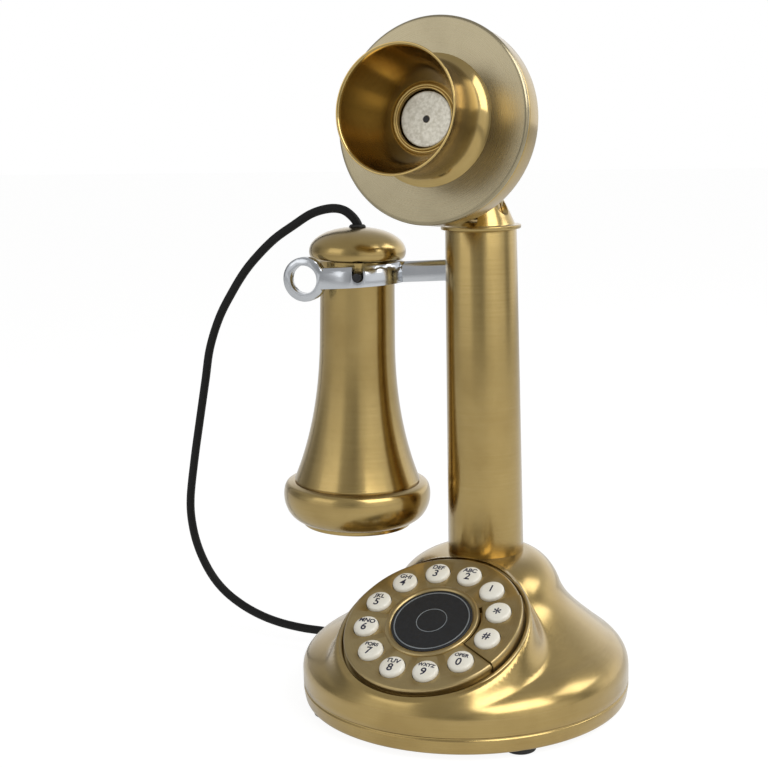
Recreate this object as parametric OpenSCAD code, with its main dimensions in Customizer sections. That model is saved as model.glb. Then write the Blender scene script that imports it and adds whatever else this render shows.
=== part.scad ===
// Candlestick desk telephone with twelve push buttons set round a dial.
// Millimetres, +Z up. The origin is on the column's axis, at the level the feet stand on.
// The dial faces -Y and the receiver hangs on the -X side.

/* [Base] */
// Radius of the base at its foot ring
base_r = 73.5; // [70:0.5:80]
// Distance from the base's centre back to the column's axis
base_back = 25.7; // [22:0.1:28]
// Height of the foot ring below the seam
ring_h = 7; // [6:0.5:8]
// Height of the rubber feet
foot_h = 2.5; // [2:0.1:4]
// Radius of each rubber foot
foot_r = 7; // [5:0.5:8]
// Number of rubber feet
foot_count = 4; // [3:1:6]
// Radius of the circle that the feet stand on
foot_circle_r = 65; // [58:0.5:65]
// Height of the housing where the column enters it
bell_top = 62.5; // [60:0.5:66]
// Wall of the housing
wall = 2.4; // [2:0.1:3]
// Thickness of the base's floor
floor_t = 2; // [1.6:0.1:3]

/* [Dial] */
// Tilt of the dial from level
dial_tilt = 27; // [24:0.5:29]
// Distance from the column's axis forward to the dial's centre
dial_fwd = 59.3; // [58:0.1:61]
// Height of the dial plate's centre
dial_z = 45.8; // [45:0.1:47]
// Radius of the dial plate
dial_r = 40; // [38:0.5:41]
// Thickness of the dial plate at its edge
dial_t = 3.2; // [2.8:0.1:3.4]
// Height of a button's crown above the dial plate
key_crown = 2; // [1.8:0.1:2.6]
// Travel of a button
key_travel = 1.2; // [0.8:0.1:1.5]
// Height of the raised sector above the dial plate
sector_rise = 1.2; // [0.8:0.1:1.5]

/* [Column] */
// Radius of the column at the level of the feet, if it ran down so far
column_foot_r = 18.1; // [17.5:0.1:18.5]
// Radius of the column at its top
column_top_r = 16.1; // [15.5:0.1:16.5]
// Height of the column's top
column_top = 212.7; // [205:0.5:220]
// Wall of the column
column_wall = 1.5; // [1.2:0.1:2]

/* [Hook] */
// Turn of the hook's side of the phone towards its front
hook_turn = 8; // [0:1:10]
// Depth of the hook's pivot below the column's top
hook_drop = 18.7; // [17:0.1:22]
// Droop of the hook lever at rest
hook_droop = 2.5; // [1:0.5:3]
// Height of the hook's arm and prongs
hook_h = 9.4; // [8:0.1:10]
// Thickness of the hook's prongs
prong_t = 4.4; // [3.5:0.1:5]
// Radius of the eye at each prong's end
eye_r = 10.2; // [9:0.1:11]
// Radius of the hole in each eye
eye_hole_r = 6.5; // [5:0.1:7]
// Distance of the eyes beyond the receiver's axis
eye_out = 18; // [16:0.5:20]
// Radius of the hook's pivot pin
pin_r = 2; // [1.5:0.1:2.5]

/* [Receiver] */
// Distance of the receiver from the column's axis, level with the hook
receiver_out = 60; // [60:0.5:62]
// Lean of the hanging receiver's top towards the column
receiver_lean = 1.9; // [0:0.1:2.5]
// Radius of the receiver's neck
neck_r = 17.4; // [16.5:0.1:17.6]
// Radius of the receiver's ear ring
ear_r = 35.4; // [34:0.1:37]
// Radius of the receiver's cap
cap_r = 22.7; // [22:0.1:24]
// Wall of the receiver
receiver_wall = 2; // [1.6:0.1:2.4]
// Diameter of the cord
cord_d = 4.2; // [4.2:0.1:4.4]

/* [Transmitter] */
// Radius of the transmitter's face
face_r = 43.6; // [42:0.1:45]
// Distance from the column's axis forward to the face's centre
face_fwd = 50.6; // [49:0.1:52]
// Height of the face's centre above the column's top
face_rise = 47.9; // [46:0.1:50]
// Tilt of the transmitter upwards
face_tilt = 8.6; // [5:0.1:10]
// Depth of the transmitter's drum behind its face
drum_depth = 12.5; // [11:0.1:14]
// Radius of the mouthpiece's rim
rim_r = 26.6; // [25:0.1:28]
// Length of the mouthpiece in front of the face
horn_l = 32.8; // [31:0.1:35]

/* [Hidden] */
$fn = 72;

// Clearances: faces that only rest on each other, sliding pieces, turning pieces on a pin,
// pressed pieces, and the cord in its holes
seat_gap = 0.3;
slide_gap = 0.35;
pin_gap = 0.05;
press_gap = 0.02;
cord_gap = 0.25;

// Base
seam_z = foot_h + ring_h;
floor_z = foot_h + floor_t;
sill_r = 0.6 + base_r;
ring_wall = 3;
seam_groove = 0.6;
screw_r = 1.45;
screw_head_r = 3;
screw_head_h = 1.8;
post_r = 3.4;
boss_h = 2.2;
boss_z = floor_z + boss_h;
// Screw posts: distance and bearing from the base's centre, and the height they reach in the housing
post_spots = [[base_r - 16.1, -25, 28.5], [base_r - 10.2, 61.7, 26.5]];
post_places = [for (p = post_spots) [p[0] * cos(p[1]), p[0] * sin(p[1]) - base_back, p[2]]];
ballast_r = 27;
ballast_h = 6;
board_size = [64, 44, 1.6];
board_y = -57;
standoff_h = 5;
standoff_r = 2.6;
ringer_r = 10;
ringer_h = 7;
ringer_place = [46, -8];
jack_size = [13, 16, 11.5];
jack_hole = [9.8, 11, 6.8];
jack_inset = 1.4;
jack_gap = 1;
jack_face_y = sill_r - base_back - jack_inset;
ballast_y = jack_face_y - jack_size[1] - jack_gap - ballast_r;
grommet_turn = 163;
grommet_r = 4.4;
grommet_out = 5;
grommet_in = 4.6;

// Column
function column_r(z) = column_foot_r + (column_top_r - column_foot_r) * z / column_top;
function bore_r(z) = column_r(z) - column_wall;
collar_t = 4;
collar_z = bell_top - wall - collar_t;
plug_h = 14;
bolt_r = 2.5;
cap_flange_r = column_top_r + 2;
cap_flange_t = 1.8;
tube_top = column_top - cap_flange_t / 2;
spigot_h = 7;
dome_h = 18.7;
ear_t = 4.2;
lug_t = 8;
lug_r = 6.4;
tilt_y = -2;
tilt_z = column_top + 9.5;
tilt_pin_r = 2.5;
tilt_head_r = 3.9;
face_z = column_top + face_rise;

// Hook, in a frame whose +X runs from the column to the receiver
hook_z = column_top - hook_drop;
pivot_x = -5;
arm_t = 5;
fork_in_r = neck_r + 1.2;
fork_out_r = fork_in_r + prong_t;
bevel_h = 2.4;
bevel_d = 1.6;
tail_l = 6.5;
carrier_low = hook_z - 16;
carrier_high = hook_z + 9;
slot_y = arm_t / 2 + slide_gap;
peg_shift = -8;
peg_r = 1.9;
notch_gap = 0.5;
spring_x = 7;
spring_r = 2;
spring_wire = 0.5;
spring_turns = 6;

// Dial: its ring of buttons and its hub grow with it
key_circle_r = 0.7425 * dial_r;
key_r = 0.14 * dial_r;
hub_r = 0.525 * dial_r;
badge_r = hub_r - 2.8;
dial_recess = 5.5;
pocket_r = dial_r + 1.2;
ledge_r = dial_r - 3;
ledge_h = 3.4;
pod_r = dial_r + 3;
pod_drop = 3.5;
key_step = 30;
first_key = 47.2;
key_hole_gap = 0.3;
key_flange_r = key_r + 1.1;
key_flange_t = 0.9;
sector_turn = [-27.8, 32.2];
sector_in_r = hub_r + 1.6;
sector_out_r = dial_r + 0.3;
sector_skirt = 4.6;
mat_r = ledge_r - 2.5;
mat_t = 1;

// Receiver, in a frame on its axis, level with the hook's middle at z 0
receiver_z = hook_z - 1.5;
shell_low = -99.5;
ring_low = -119.4;
cap_low = 2.5;
cap_top = 20;

// Transmitter, in a frame on its axis, with the face's front at z 0
face_t = 2.6;
groove_t = 0.8;
cup_depth = drum_depth + 12;
throat_r = 12.6;
mouth_hole_r = 15;
mic_z = 4.6;

// ---- Frames ----

module on_base() translate([0, -base_back, 0]) children();

module on_dial() translate([0, -dial_fwd, dial_z]) rotate([dial_tilt, 0, 0]) children();

module on_hook_side() rotate([0, 0, 180 + hook_turn]) children();

module on_lever() on_hook_side() translate([pivot_x, 0, hook_z]) rotate([0, hook_droop, 0]) children();

module on_receiver()
    on_hook_side() translate([receiver_out, 0, receiver_z]) rotate([0, -receiver_lean, 0]) children();

module on_face() translate([0, -face_fwd, face_z]) rotate([90 - face_tilt, 0, 0]) children();

module both_sides() {
    children();
    mirror([1, 0, 0]) children();
}

// ---- Shapes and curves ----

function bezier(p, t) = let (s = 1 - t)
    s * s * s * p[0] + 3 * s * s * t * p[1] + 3 * s * t * t * p[2] + t * t * t * p[3];

function curve(p, steps, first = 0) = [for (i = [first:steps]) bezier(p, i / steps)];

function smooth_max(a, b, k) = let (h = max(k - abs(a - b), 0) / k) max(a, b) + h * h * k / 4;

// A closed skin through rings of points, each ring with the same count
module skin(rings, closed = false) {
    sides = len(rings[0]);
    last = len(rings) - 1;
    spans = closed ? last : last - 1;
    points = [for (ring = rings) each ring];
    walls = [for (i = [0:spans], j = [0:sides - 1])
        let (a = i, b = (i + 1) % len(rings), k = (j + 1) % sides)
        each [[a * sides + j, a * sides + k, b * sides + k], [a * sides + j, b * sides + k, b * sides + j]]];
    ends = closed ? [] : [[for (j = [sides - 1:-1:0]) j], [for (j = [0:sides - 1]) last * sides + j]];
    polyhedron(points, concat(walls, ends));
}

// A tube along a route of points, of round section
module swept_tube(route, r, sides) {
    last = len(route) - 1;
    function unit(v) = v / norm(v);
    function along(i) = unit(route[min(i + 1, last)] - route[max(i - 1, 0)]);
    // The route lies close to one upright plane, so its side direction is nearly constant
    function side(i) = unit(cross(along(i), [0, 1, 0]));
    skin([for (i = [0:last]) let (u = side(i), v = cross(along(i), u))
        [for (j = [0:sides - 1]) route[i] + r * (cos(360 * j / sides) * u + sin(360 * j / sides) * v)]]);
}

module ring_solid(outer, inner, h) difference() {
    cylinder(h = h, r = outer);
    translate([0, 0, -1]) cylinder(h = h + 2, r = inner);
}

// ---- Base ----

// The housing's outline from the column down to the seam, as [radius, height]
bell_hole_r = column_r(bell_top) + press_gap;
waist = [37.5, bell_top - 13];
brim = [base_r - 9.5, foot_h + 26];
bell_outline = concat([[bell_hole_r - 1, bell_top]],
    curve([[bell_hole_r + 0.6, bell_top], [27.5, bell_top], [34.5, waist[1] + 7], waist], 6),
    curve([waist, [41.5, waist[1] - 8.5], [50, brim[1] + 8], brim], 7, 1),
    curve([brim, [base_r - 2.5, brim[1] - 3.2], [sill_r, brim[1] - 6.5], [sill_r, brim[1] - 12]], 5, 1),
    [[sill_r, seam_z + seam_groove]]);
bell_sides = 64;

// How far forward the outline's circle of radius r is centred
function bell_shift(r) = -base_back * max(r - bell_hole_r, 0) / (sill_r - bell_hole_r);

// Height of the dial's pod at a place, falling away outside its edge
function pod_height(x, y) =
    let (v = (y + dial_fwd) / cos(dial_tilt), out = max(norm([x, v]) - pod_r, 0))
    dial_z - pod_drop / cos(dial_tilt) + (y + dial_fwd) * tan(dial_tilt) - 3 * out * out / (out + 1.2);

function bell_ring(p, inset, drop) =
    let (r = p[0] - inset * (p[0] - bell_hole_r) / (sill_r - bell_hole_r))
    [for (j = [0:bell_sides - 1])
        let (a = 360 * j / bell_sides, x = r * cos(a), y = bell_shift(p[0]) + r * sin(a))
        [x, y, p[1] < brim[1] - 11.9 ? p[1] - (p[1] > seam_z + 1 ? drop : 0)
            : smooth_max(p[1], pod_height(x, y), 7) - drop]];

module bell_shell() {
    count = len(bell_outline);
    outer = [for (p = bell_outline) bell_ring(p, 0, 0)];
    inner = [for (i = [count - 1:-1:0]) bell_ring(bell_outline[i], wall, wall)];
    skin(concat(outer, inner), closed = true);
}

module at_posts() for (p = post_places) both_sides() translate([p[0], p[1], 0]) children();

module jack_window() translate([-jack_size[0] / 2 - slide_gap, 0, floor_z - 0.01])
    cube([jack_size[0] + 2 * slide_gap, 80, jack_size[2] + slide_gap]);

module at_grommet()
    on_base() rotate([0, 0, grommet_turn]) translate([base_r, 0, seam_z]) rotate([0, 90, 0]) children();

module grommet_hole() at_grommet() translate([0, 0, -12]) cylinder(h = 24, r = grommet_r);

module base_housing() color("#a38d5c") difference() {
    union() {
        bell_shell();
        on_dial() translate([0, 0, -dial_recess - ledge_h]) ring_solid(pod_r - 0.8, ledge_r, ledge_h);
        translate([0, 0, collar_z]) cylinder(h = collar_t + wall / 2, r = bell_hole_r + 4);
        for (p = post_places) both_sides() translate([p[0], p[1], boss_z])
            cylinder(h = p[2] - boss_z, r = post_r);
    }
    on_dial() translate([0, 0, -dial_recess]) cylinder(h = 30, r = pocket_r);
    on_dial() translate([0, 0, -40]) cylinder(h = 60, r = ledge_r);
    translate([0, 0, collar_z + collar_t]) cylinder(h = 30, r = bell_hole_r);
    translate([0, 0, collar_z - 1]) cylinder(h = 30, r = bolt_r + 0.3);
    at_posts() translate([0, 0, boss_z - 1]) cylinder(h = 12, r = screw_r + press_gap);
    jack_window();
    grommet_hole();
}

module base_plate() color("#a38d5c") difference() {
    union() {
        on_base() rotate_extrude($fn = 144) polygon([
            [0, foot_h], [base_r - 1.6, foot_h], [base_r - 0.5, foot_h + 0.5], [base_r, foot_h + 1.6],
            [sill_r, seam_z - 1.4], [sill_r, seam_z - 0.4], [sill_r - 0.5, seam_z],
            [sill_r - 0.5, seam_z + seam_groove],
            [sill_r - ring_wall, seam_z + seam_groove], [sill_r - ring_wall, floor_z], [0, floor_z]]);
        at_posts() translate([0, 0, floor_z - 0.5]) cylinder(h = boss_h + 0.5, r = post_r + 1.6);
        at_standoffs() translate([0, 0, floor_z - 0.5]) cylinder(h = standoff_h + 0.5, r = standoff_r);
    }
    at_posts() translate([0, 0, foot_h - 1]) cylinder(h = 1.4 + screw_head_h, r = screw_head_r + 0.4);
    at_posts() translate([0, 0, foot_h - 1]) cylinder(h = 12, r = screw_r + 0.25);
    jack_window();
    grommet_hole();
}

module at_standoffs() both_sides() for (s = [-1, 1])
    translate([board_size[0] / 2 - 5, board_y + s * (board_size[1] / 2 - 5), 0]) children();

module rubber_feet() color("#201e1c") on_base()
    for (i = [0:foot_count - 1]) rotate([0, 0, 45 + i * 360 / foot_count]) translate([foot_circle_r, 0, 0])
        rotate_extrude() polygon([[0, 0], [foot_r - 1.2, 0], [foot_r - 0.3, 0.5], [foot_r, foot_h], [0, foot_h]]);

module base_screws() color("silver") at_posts() {
    difference() {
        translate([0, 0, foot_h + 0.4]) cylinder(h = screw_head_h, r = screw_head_r);
        for (a = [0, 90]) translate([0, 0, foot_h]) rotate([0, 0, a])
            translate([-2, -0.4, 0]) cube([4, 0.8, 1.3]);
    }
    translate([0, 0, foot_h + 0.4 + screw_head_h - 0.1]) cylinder(h = 11, r = screw_r);
}

module ballast_weight() color("dimgray") translate([0, ballast_y, floor_z])
    ring_solid(ballast_r, 9, ballast_h);

module cord_grommet() color("#1a1a1a") at_grommet() difference() {
    union() {
        translate([0, 0, -grommet_in]) cylinder(h = grommet_in + 1, r = grommet_r - press_gap);
        translate([0, 0, 0.8]) cylinder(h = grommet_out - 0.8, r1 = grommet_r + 0.4, r2 = cord_d / 2 + 0.8);
        translate([0, 0, -grommet_in]) cylinder(h = grommet_in - ring_wall + 0.1, r = grommet_r + 1);
    }
    translate([0, 0, grommet_out - 3]) cylinder(h = 4, r = cord_d / 2 + cord_gap);
    // the flange's flat, which clears the floor
    translate([seam_z - floor_z - seat_gap, -grommet_r - 2, -grommet_in - 1])
        cube([grommet_r, 2 * grommet_r + 4, grommet_in + 1 - ring_wall + 0.2]);
}

module line_jack() color("#2a2a2a") translate([-jack_size[0] / 2, jack_face_y - jack_size[1], floor_z])
    difference() {
        cube(jack_size);
        translate([(jack_size[0] - jack_hole[0]) / 2, jack_size[1] - jack_hole[1], 1.8])
            cube([jack_hole[0], jack_hole[1] + 1, jack_hole[2]]);
        translate([jack_size[0] / 2 - 2, jack_size[1] - 7, jack_hole[2]]) cube([4, 8, 3.4]);
    }

module main_board() color("#1f5a37") difference() {
    translate([-board_size[0] / 2, board_y - board_size[1] / 2, floor_z + standoff_h]) cube(board_size);
    at_standoffs() cylinder(h = 30, r = 1.2);
}

module ringer() color("#181818") translate([ringer_place[0], ringer_place[1], floor_z]) difference() {
    cylinder(h = ringer_h, r = ringer_r);
    translate([0, 0, ringer_h - 1.5]) cylinder(h = 2, r = 1.5);
}

// ---- Column ----

module column_tube() color("#a38d5c") {
    low = collar_z + collar_t;
    difference() {
        translate([0, 0, low]) cylinder(h = tube_top - low, r1 = column_r(low), r2 = column_r(tube_top), $fn = 96);
        translate([0, 0, low - 1])
            cylinder(h = tube_top - low + 2, r1 = bore_r(low - 1), r2 = bore_r(tube_top + 1), $fn = 96);
        on_hook_side() translate([0, -slot_y, hook_z - hook_h / 2 - 1.8])
            cube([30, 2 * slot_y, hook_h + 4.4]);
    }
}

module column_plug() color("silver") translate([0, 0, collar_z + collar_t]) difference() {
    cylinder(h = plug_h, r1 = bore_r(collar_z + collar_t) - press_gap, r2 = bore_r(collar_z + collar_t + plug_h) - press_gap);
    translate([0, 0, -1]) cylinder(h = plug_h + 2, r = bolt_r);
}

module column_bolt() color("silver") {
    translate([0, 0, collar_z - 4]) cylinder(h = 4, r = 5.2, $fn = 6);
    translate([0, 0, collar_z - 0.1]) cylinder(h = collar_t + 10, r = bolt_r - press_gap);
}

// The dome over the cap's flange, as [radius, height]
dome_outline = [[column_top_r - 0.6, cap_flange_t], [column_top_r - 1.9, cap_flange_t + 3.1],
    [column_top_r - 3.6, cap_flange_t + 6.8], [column_top_r - 5.9, dome_h - 5.5], [column_top_r - 7.5, dome_h - 2.7],
    [column_top_r - 9.1, dome_h - 1], [column_top_r - 11.6, dome_h - 0.2], [0, dome_h]];

module column_cap() color("#a38d5c") difference() {
    union() {
        translate([0, 0, tube_top - spigot_h])
            cylinder(h = spigot_h + 0.1, r1 = bore_r(tube_top - spigot_h) - pin_gap, r2 = bore_r(tube_top) - pin_gap);
        translate([0, 0, tube_top]) rotate_extrude($fn = 96) polygon(concat([[0, 0], [cap_flange_r - 0.4, 0],
            [cap_flange_r, 0.4], [cap_flange_r, cap_flange_t - 0.4], [cap_flange_r - 0.4, cap_flange_t]],
            dome_outline));
    }
    translate([-lug_t / 2 - slide_gap, -30, tilt_z - lug_r - slide_gap]) cube([lug_t + 2 * slide_gap, 60, 40]);
    translate([-30, tilt_y, tilt_z]) rotate([0, 90, 0]) cylinder(h = 60, r = tilt_pin_r);
    both_sides() translate([tilt_reach, tilt_y, tilt_z]) rotate([0, 90, 0]) cylinder(h = 20, r = tilt_head_r + pin_gap);
    translate([0, 0, tube_top - spigot_h - 1]) cylinder(h = spigot_h + 1, r = 9);
}
tilt_reach = lug_t / 2 + slide_gap + ear_t;

module tilt_screw() color("#8f7a4c") translate([0, tilt_y, tilt_z]) rotate([0, 90, 0]) {
    translate([0, 0, -tilt_reach - 0.1]) cylinder(h = 2 * tilt_reach + 0.2, r = tilt_pin_r - pin_gap);
    both_ends(tilt_reach) rotate_extrude() polygon([[0, 0], [tilt_head_r, 0], [tilt_head_r, 1.8],
        [tilt_head_r - 0.4, 2.2], [0, 2.2]]);
}

module both_ends(reach) {
    translate([0, 0, reach]) children();
    mirror([0, 0, 1]) translate([0, 0, reach]) children();
}

// ---- Hook ----

module hook_carrier() color("#3a3a3a") on_hook_side() difference() {
    translate([0, 0, carrier_low]) cylinder(h = carrier_high - carrier_low,
        r1 = bore_r(carrier_low) - pin_gap, r2 = bore_r(carrier_high) - pin_gap);
    translate([-13, -slot_y, hook_z - 6.5]) cube([40, 2 * slot_y, 30]);
    translate([-13, -slot_y, carrier_low + 3]) cube([9, 2 * slot_y, 30]);
    translate([spring_x, 0, carrier_low + 5]) cylinder(h = 20, r = spring_r + spring_wire / 2 + 0.3);
    translate([pivot_x, -20, hook_z]) rotate([-90, 0, 0]) cylinder(h = 40, r = pin_r);
}

module hook_pin() color("silver") on_hook_side() translate([pivot_x, 0, hook_z]) rotate([90, 0, 0])
    cylinder(h = 22, r = pin_r, center = true);

module hook_switch() color("#222222") on_hook_side() {
    translate([-13 + press_gap, -slot_y + press_gap, carrier_low + 3]) cube([8, 2 * (slot_y - press_gap), 6.5]);
    translate([-10.8, 0, carrier_low + 9.4]) cylinder(h = switch_reach - 9.4, r = 1.2);
}
switch_reach = hook_z - hook_h / 2 - 0.65 - carrier_low;

spring_low = carrier_low + 5;
spring_high = hook_z - hook_h / 2 - (spring_x - pivot_x) * tan(hook_droop) - seat_gap;

module hook_spring() color("lightgray") on_hook_side() translate([spring_x, 0, 0]) {
    steps = spring_turns * 12;
    rise = spring_high - spring_low - spring_wire;
    skin([for (i = [0:steps]) let (a = 30 * i, z = spring_low + spring_wire / 2 + rise * i / steps)
        [for (j = [0:5]) let (b = 60 * j, r = spring_r + spring_wire / 2 * cos(b))
            [r * cos(a), r * sin(a), z - spring_wire / 2 * sin(b)]]]);
}

// Sections of the arm, and of a prong with its outer top edge bevelled
module arm_section() polygon([[-arm_t / 2, -hook_h / 2], [arm_t / 2, -hook_h / 2],
    [arm_t / 2, hook_h / 2 - bevel_h], [arm_t / 2 - bevel_d, hook_h / 2],
    [-arm_t / 2 + bevel_d, hook_h / 2], [-arm_t / 2, hook_h / 2 - bevel_h]]);

module prong_section() polygon([[fork_in_r, -hook_h / 2], [fork_out_r, -hook_h / 2],
    [fork_out_r, hook_h / 2 - bevel_h], [fork_out_r - bevel_d, hook_h / 2], [fork_in_r, hook_h / 2]]);

module hook_prong() {
    rotate([90, 0, 90]) linear_extrude(eye_out) prong_section();
    translate([eye_out, fork_in_r, 0]) rotate([-90, 0, 0]) rotate_extrude() polygon([
        [0, 0], [eye_r, 0], [eye_r, prong_t - bevel_d / 2], [eye_r - 1.2, prong_t], [0, prong_t]]);
}

module hook_lever() color("#c9ccd0") on_lever() difference() {
    yoke_x = receiver_out - pivot_x;
    union() {
        translate([-tail_l, 0, 0]) rotate([90, 0, 90])
            linear_extrude(yoke_x - fork_in_r - 1 + tail_l) arm_section();
        translate([yoke_x, 0, 0]) {
            rotate([0, 0, 90]) rotate_extrude(angle = 180, $fn = 96) prong_section();
            hook_prong();
            mirror([0, 1, 0]) hook_prong();
        }
    }
    rotate([90, 0, 0]) cylinder(h = 30, r = pin_r + pin_gap, center = true);
    translate([yoke_x + eye_out, 0, 0]) rotate([90, 0, 0]) cylinder(h = 80, r = eye_hole_r, center = true);
    translate([yoke_x + peg_shift, 0, 0]) {
        rotate([90, 0, 0]) cylinder(h = 80, r = peg_r + notch_gap, center = true);
        translate([-peg_r - notch_gap, -40, 0]) cube([2 * (peg_r + notch_gap), 80, 20]);
    }
}

// ---- Dial and keypad ----

module at_key(i) rotate([0, 0, first_key + key_step * i]) translate([key_circle_r, 0, 0]) children();

module key_holes(first, last) for (i = [first:last]) at_key(i)
    translate([0, 0, -20]) cylinder(h = 40, r = key_r + key_hole_gap);

module at_dial_posts() for (a = [90, 210, 330]) rotate([0, 0, a]) translate([dial_post_out, 0, 0]) children();

dial_post_out = hub_r - 5;
dial_post_r = 2.2;
board_top = -dial_t - key_flange_t - key_travel - mat_t - 0.3;
skirt_lap = 0.25;

module sector_outline(gap) polygon(concat([[0, 0]], [for (i = [0:6])
    let (a = sector_turn[0] - gap + (sector_turn[1] - sector_turn[0] + 2 * gap) * i / 6) 60 * [cos(a), sin(a)]]));

module dial_plate() color("#a38d5c") on_dial() difference() {
    union() {
        intersection() {
            rotate_extrude($fn = 144) polygon([[0, -dial_t], [dial_r - 0.6, -dial_t],
                [dial_r, -dial_t + 0.6], [dial_r, -0.7], [dial_r - 0.7, 0], [0, 0]]);
            translate([0, 0, -10]) linear_extrude(20) difference() {
                circle(r = 60);
                difference() {
                    sector_outline(0.4);
                    circle(r = hub_r + 0.2, $fn = 144);
                }
            }
        }
        translate([0, 0, -dial_recess]) ring_solid(ledge_r + 1.6, ledge_r, dial_recess - dial_t + skirt_lap);
        at_dial_posts() translate([0, 0, board_top]) cylinder(h = -board_top - 1, r = dial_post_r);
    }
    translate([0, 0, -20]) cylinder(h = 40, r = 9);
    key_holes(0, 9);
    at_dial_posts() translate([0, 0, board_top - 1]) cylinder(h = 5, r = 1);
}

module dial_sector() color("#a38d5c") on_dial() difference() {
    under = -dial_t + skirt_lap + 0.05;
    intersection() {
        rotate_extrude($fn = 144) polygon([[sector_in_r, under], [ledge_r + 2, under],
            [ledge_r + 2, -sector_skirt], [sector_out_r - 0.3, -sector_skirt], [sector_out_r, -sector_skirt + 0.5],
            [sector_out_r, sector_rise - 0.6], [sector_out_r - 0.6, sector_rise], [sector_in_r + 0.3, sector_rise],
            [sector_in_r, sector_rise - 0.3]]);
        translate([0, 0, -10]) linear_extrude(20) sector_outline(0);
    }
    key_holes(10, 11);
}

module dial_ring() color("#a38d5c") on_dial() rotate_extrude($fn = 144) polygon([[badge_r + 0.2, 0],
    [hub_r, 0], [hub_r, 0.35], [hub_r - 0.5, 0.8], [hub_r - 1.2, 1], [badge_r + 1, 0.9], [badge_r + 0.2, 0.5]]);

module dial_badge() color("#1c1e22") on_dial() rotate_extrude($fn = 144)
    polygon([[0, 0], [badge_r, 0], [badge_r, 0.4], [badge_r - 0.3, 0.6], [0, 0.6]]);

module keypad_mat() color("#55585c") on_dial() difference() {
    union() {
        translate([0, 0, board_top]) cylinder(h = mat_t - 0.3, r = mat_r);
        for (i = [0:11]) at_key(i) translate([0, 0, board_top]) cylinder(h = mat_t, r1 = 4.4, r2 = 3.4);
    }
    at_dial_posts() translate([0, 0, board_top - 1]) cylinder(h = 4, r = dial_post_r + press_gap);
}

module keypad_board() color("#1f5a37") on_dial() difference() {
    translate([0, 0, board_top - 1.6]) cylinder(h = 1.6, r = mat_r);
    at_dial_posts() translate([0, 0, board_top - 3]) cylinder(h = 4, r = 1.1);
}

module dial_screws() color("silver") on_dial() at_dial_posts() {
    translate([0, 0, board_top - 3.2]) cylinder(h = 1.6, r = 2.2);
    translate([0, 0, board_top - 1.7]) cylinder(h = 5, r = 1 - press_gap);
}

module key(i) color("#efeadb") on_dial() at_key(i) rotate_extrude() {
    top = i < 10 ? 0 : sector_rise;
    low = -dial_t - key_flange_t - 0.1;
    polygon([[0, low], [key_flange_r, low], [key_flange_r, low + key_flange_t], [key_r, low + key_flange_t],
        [key_r, top + key_crown - 0.95], [key_r - 0.35, top + key_crown - 0.5],
        [key_r - 1.1, top + key_crown - 0.28], [key_r - 2.8, top + key_crown - 0.06], [0, top + key_crown]]);
}

// ---- Transmitter ----

tilt_lz = -(tilt_y + face_fwd) * cos(face_tilt) + (tilt_z - face_z) * sin(face_tilt);
tilt_ly = (tilt_y + face_fwd) * sin(face_tilt) + (tilt_z - face_z) * cos(face_tilt);

module transmitter_face() color("#a38d5c") on_face() rotate_extrude($fn = 144) polygon([
    [mouth_hole_r, -face_t], [face_r - 0.7, -face_t], [face_r, -face_t + 0.7], [face_r, -0.9],
    [face_r - 0.3, -0.3], [face_r - 1.1, 0], [mouth_hole_r, 0]]);

module transmitter_cup() color("#a38d5c") on_face() {
    back = curve([[face_r - 0.5, -drum_depth], [face_r - 1.5, -drum_depth - 7], [28, -cup_depth + 1.5],
        [15, -cup_depth]], 9);
    difference() {
        union() {
            rotate_extrude($fn = 144) polygon(concat(
                [[face_r - 3, -face_t], [face_r - 1.3, -face_t], [face_r - 1.3, -face_t - groove_t],
                    [face_r - 0.5, -face_t - groove_t - 0.4]],
                back, [[0, -cup_depth], [0, -cup_depth + 2.2], [14.2, -cup_depth + 2.2]],
                [for (i = [8:-1:0]) back[i] - [2.4, -1.6]]));
            translate([0, 0, -cup_depth + 1]) cylinder(h = mic_low + cup_depth - 1, r = 7);
            translate([-lug_t / 2, 0, 0]) rotate([90, 0, 90]) linear_extrude(lug_t) {
                translate([tilt_ly, tilt_lz]) circle(r = lug_r);
                polygon([[tilt_ly - 0.6 * lug_r, tilt_lz + 0.8 * lug_r], [tilt_ly + 0.9 * lug_r, tilt_lz - 0.4 * lug_r],
                    [-6, -cup_depth - 1], [-6, -cup_depth + 2], [-27, -cup_depth + 3.4]]);
            }
        }
        translate([-30, tilt_ly, tilt_lz]) rotate([0, 90, 0]) cylinder(h = 60, r = tilt_pin_r);
    }
}
mic_low = -9;

module microphone() color("#3b3b3b") on_face() translate([0, 0, mic_low])
    cylinder(h = mic_z - 1.2 - mic_low, r = 10.4);

module microphone_cover() color("silver") on_face() translate([0, 0, mic_z - 1.2]) difference() {
    rotate_extrude() polygon([[0, 0], [11.8, 0], [11.8, 0.8], [11.4, 1.2], [0, 1.2]]);
    translate([0, 0, -1]) cylinder(h = 4, r = 1);
}

module mouthpiece() color("#a38d5c") on_face() rotate_extrude($fn = 144) polygon(concat(
    [[mouth_hole_r - press_gap, -face_t - 1], [mouth_hole_r - press_gap, 0], [rim_r + 1.2, 0]],
    curve([[rim_r + 1.2, 0.4], [rim_r - 3.2, 2], [rim_r - 5, 8], [rim_r - 4.5, 17]], 7),
    curve([[rim_r - 4.5, 17], [rim_r - 4, 24], [rim_r - 2.2, 29], [rim_r - 0.2, horn_l - 0.8]], 6, 1),
    [[rim_r, horn_l - 0.4], [rim_r - 0.4, horn_l], [rim_r - 0.9, horn_l]],
    curve([[rim_r - 1.3, horn_l - 0.5], [rim_r - 5, 19], [16, 11], [throat_r, 2.6]], 10),
    [[throat_r, -face_t - 1]]));

// ---- Receiver ----

shell_flare = [[neck_r + 0.3, -33], [neck_r + 0.6, -58], [neck_r + 4.6, -80], [ear_r - 5.6, shell_low]];

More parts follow.
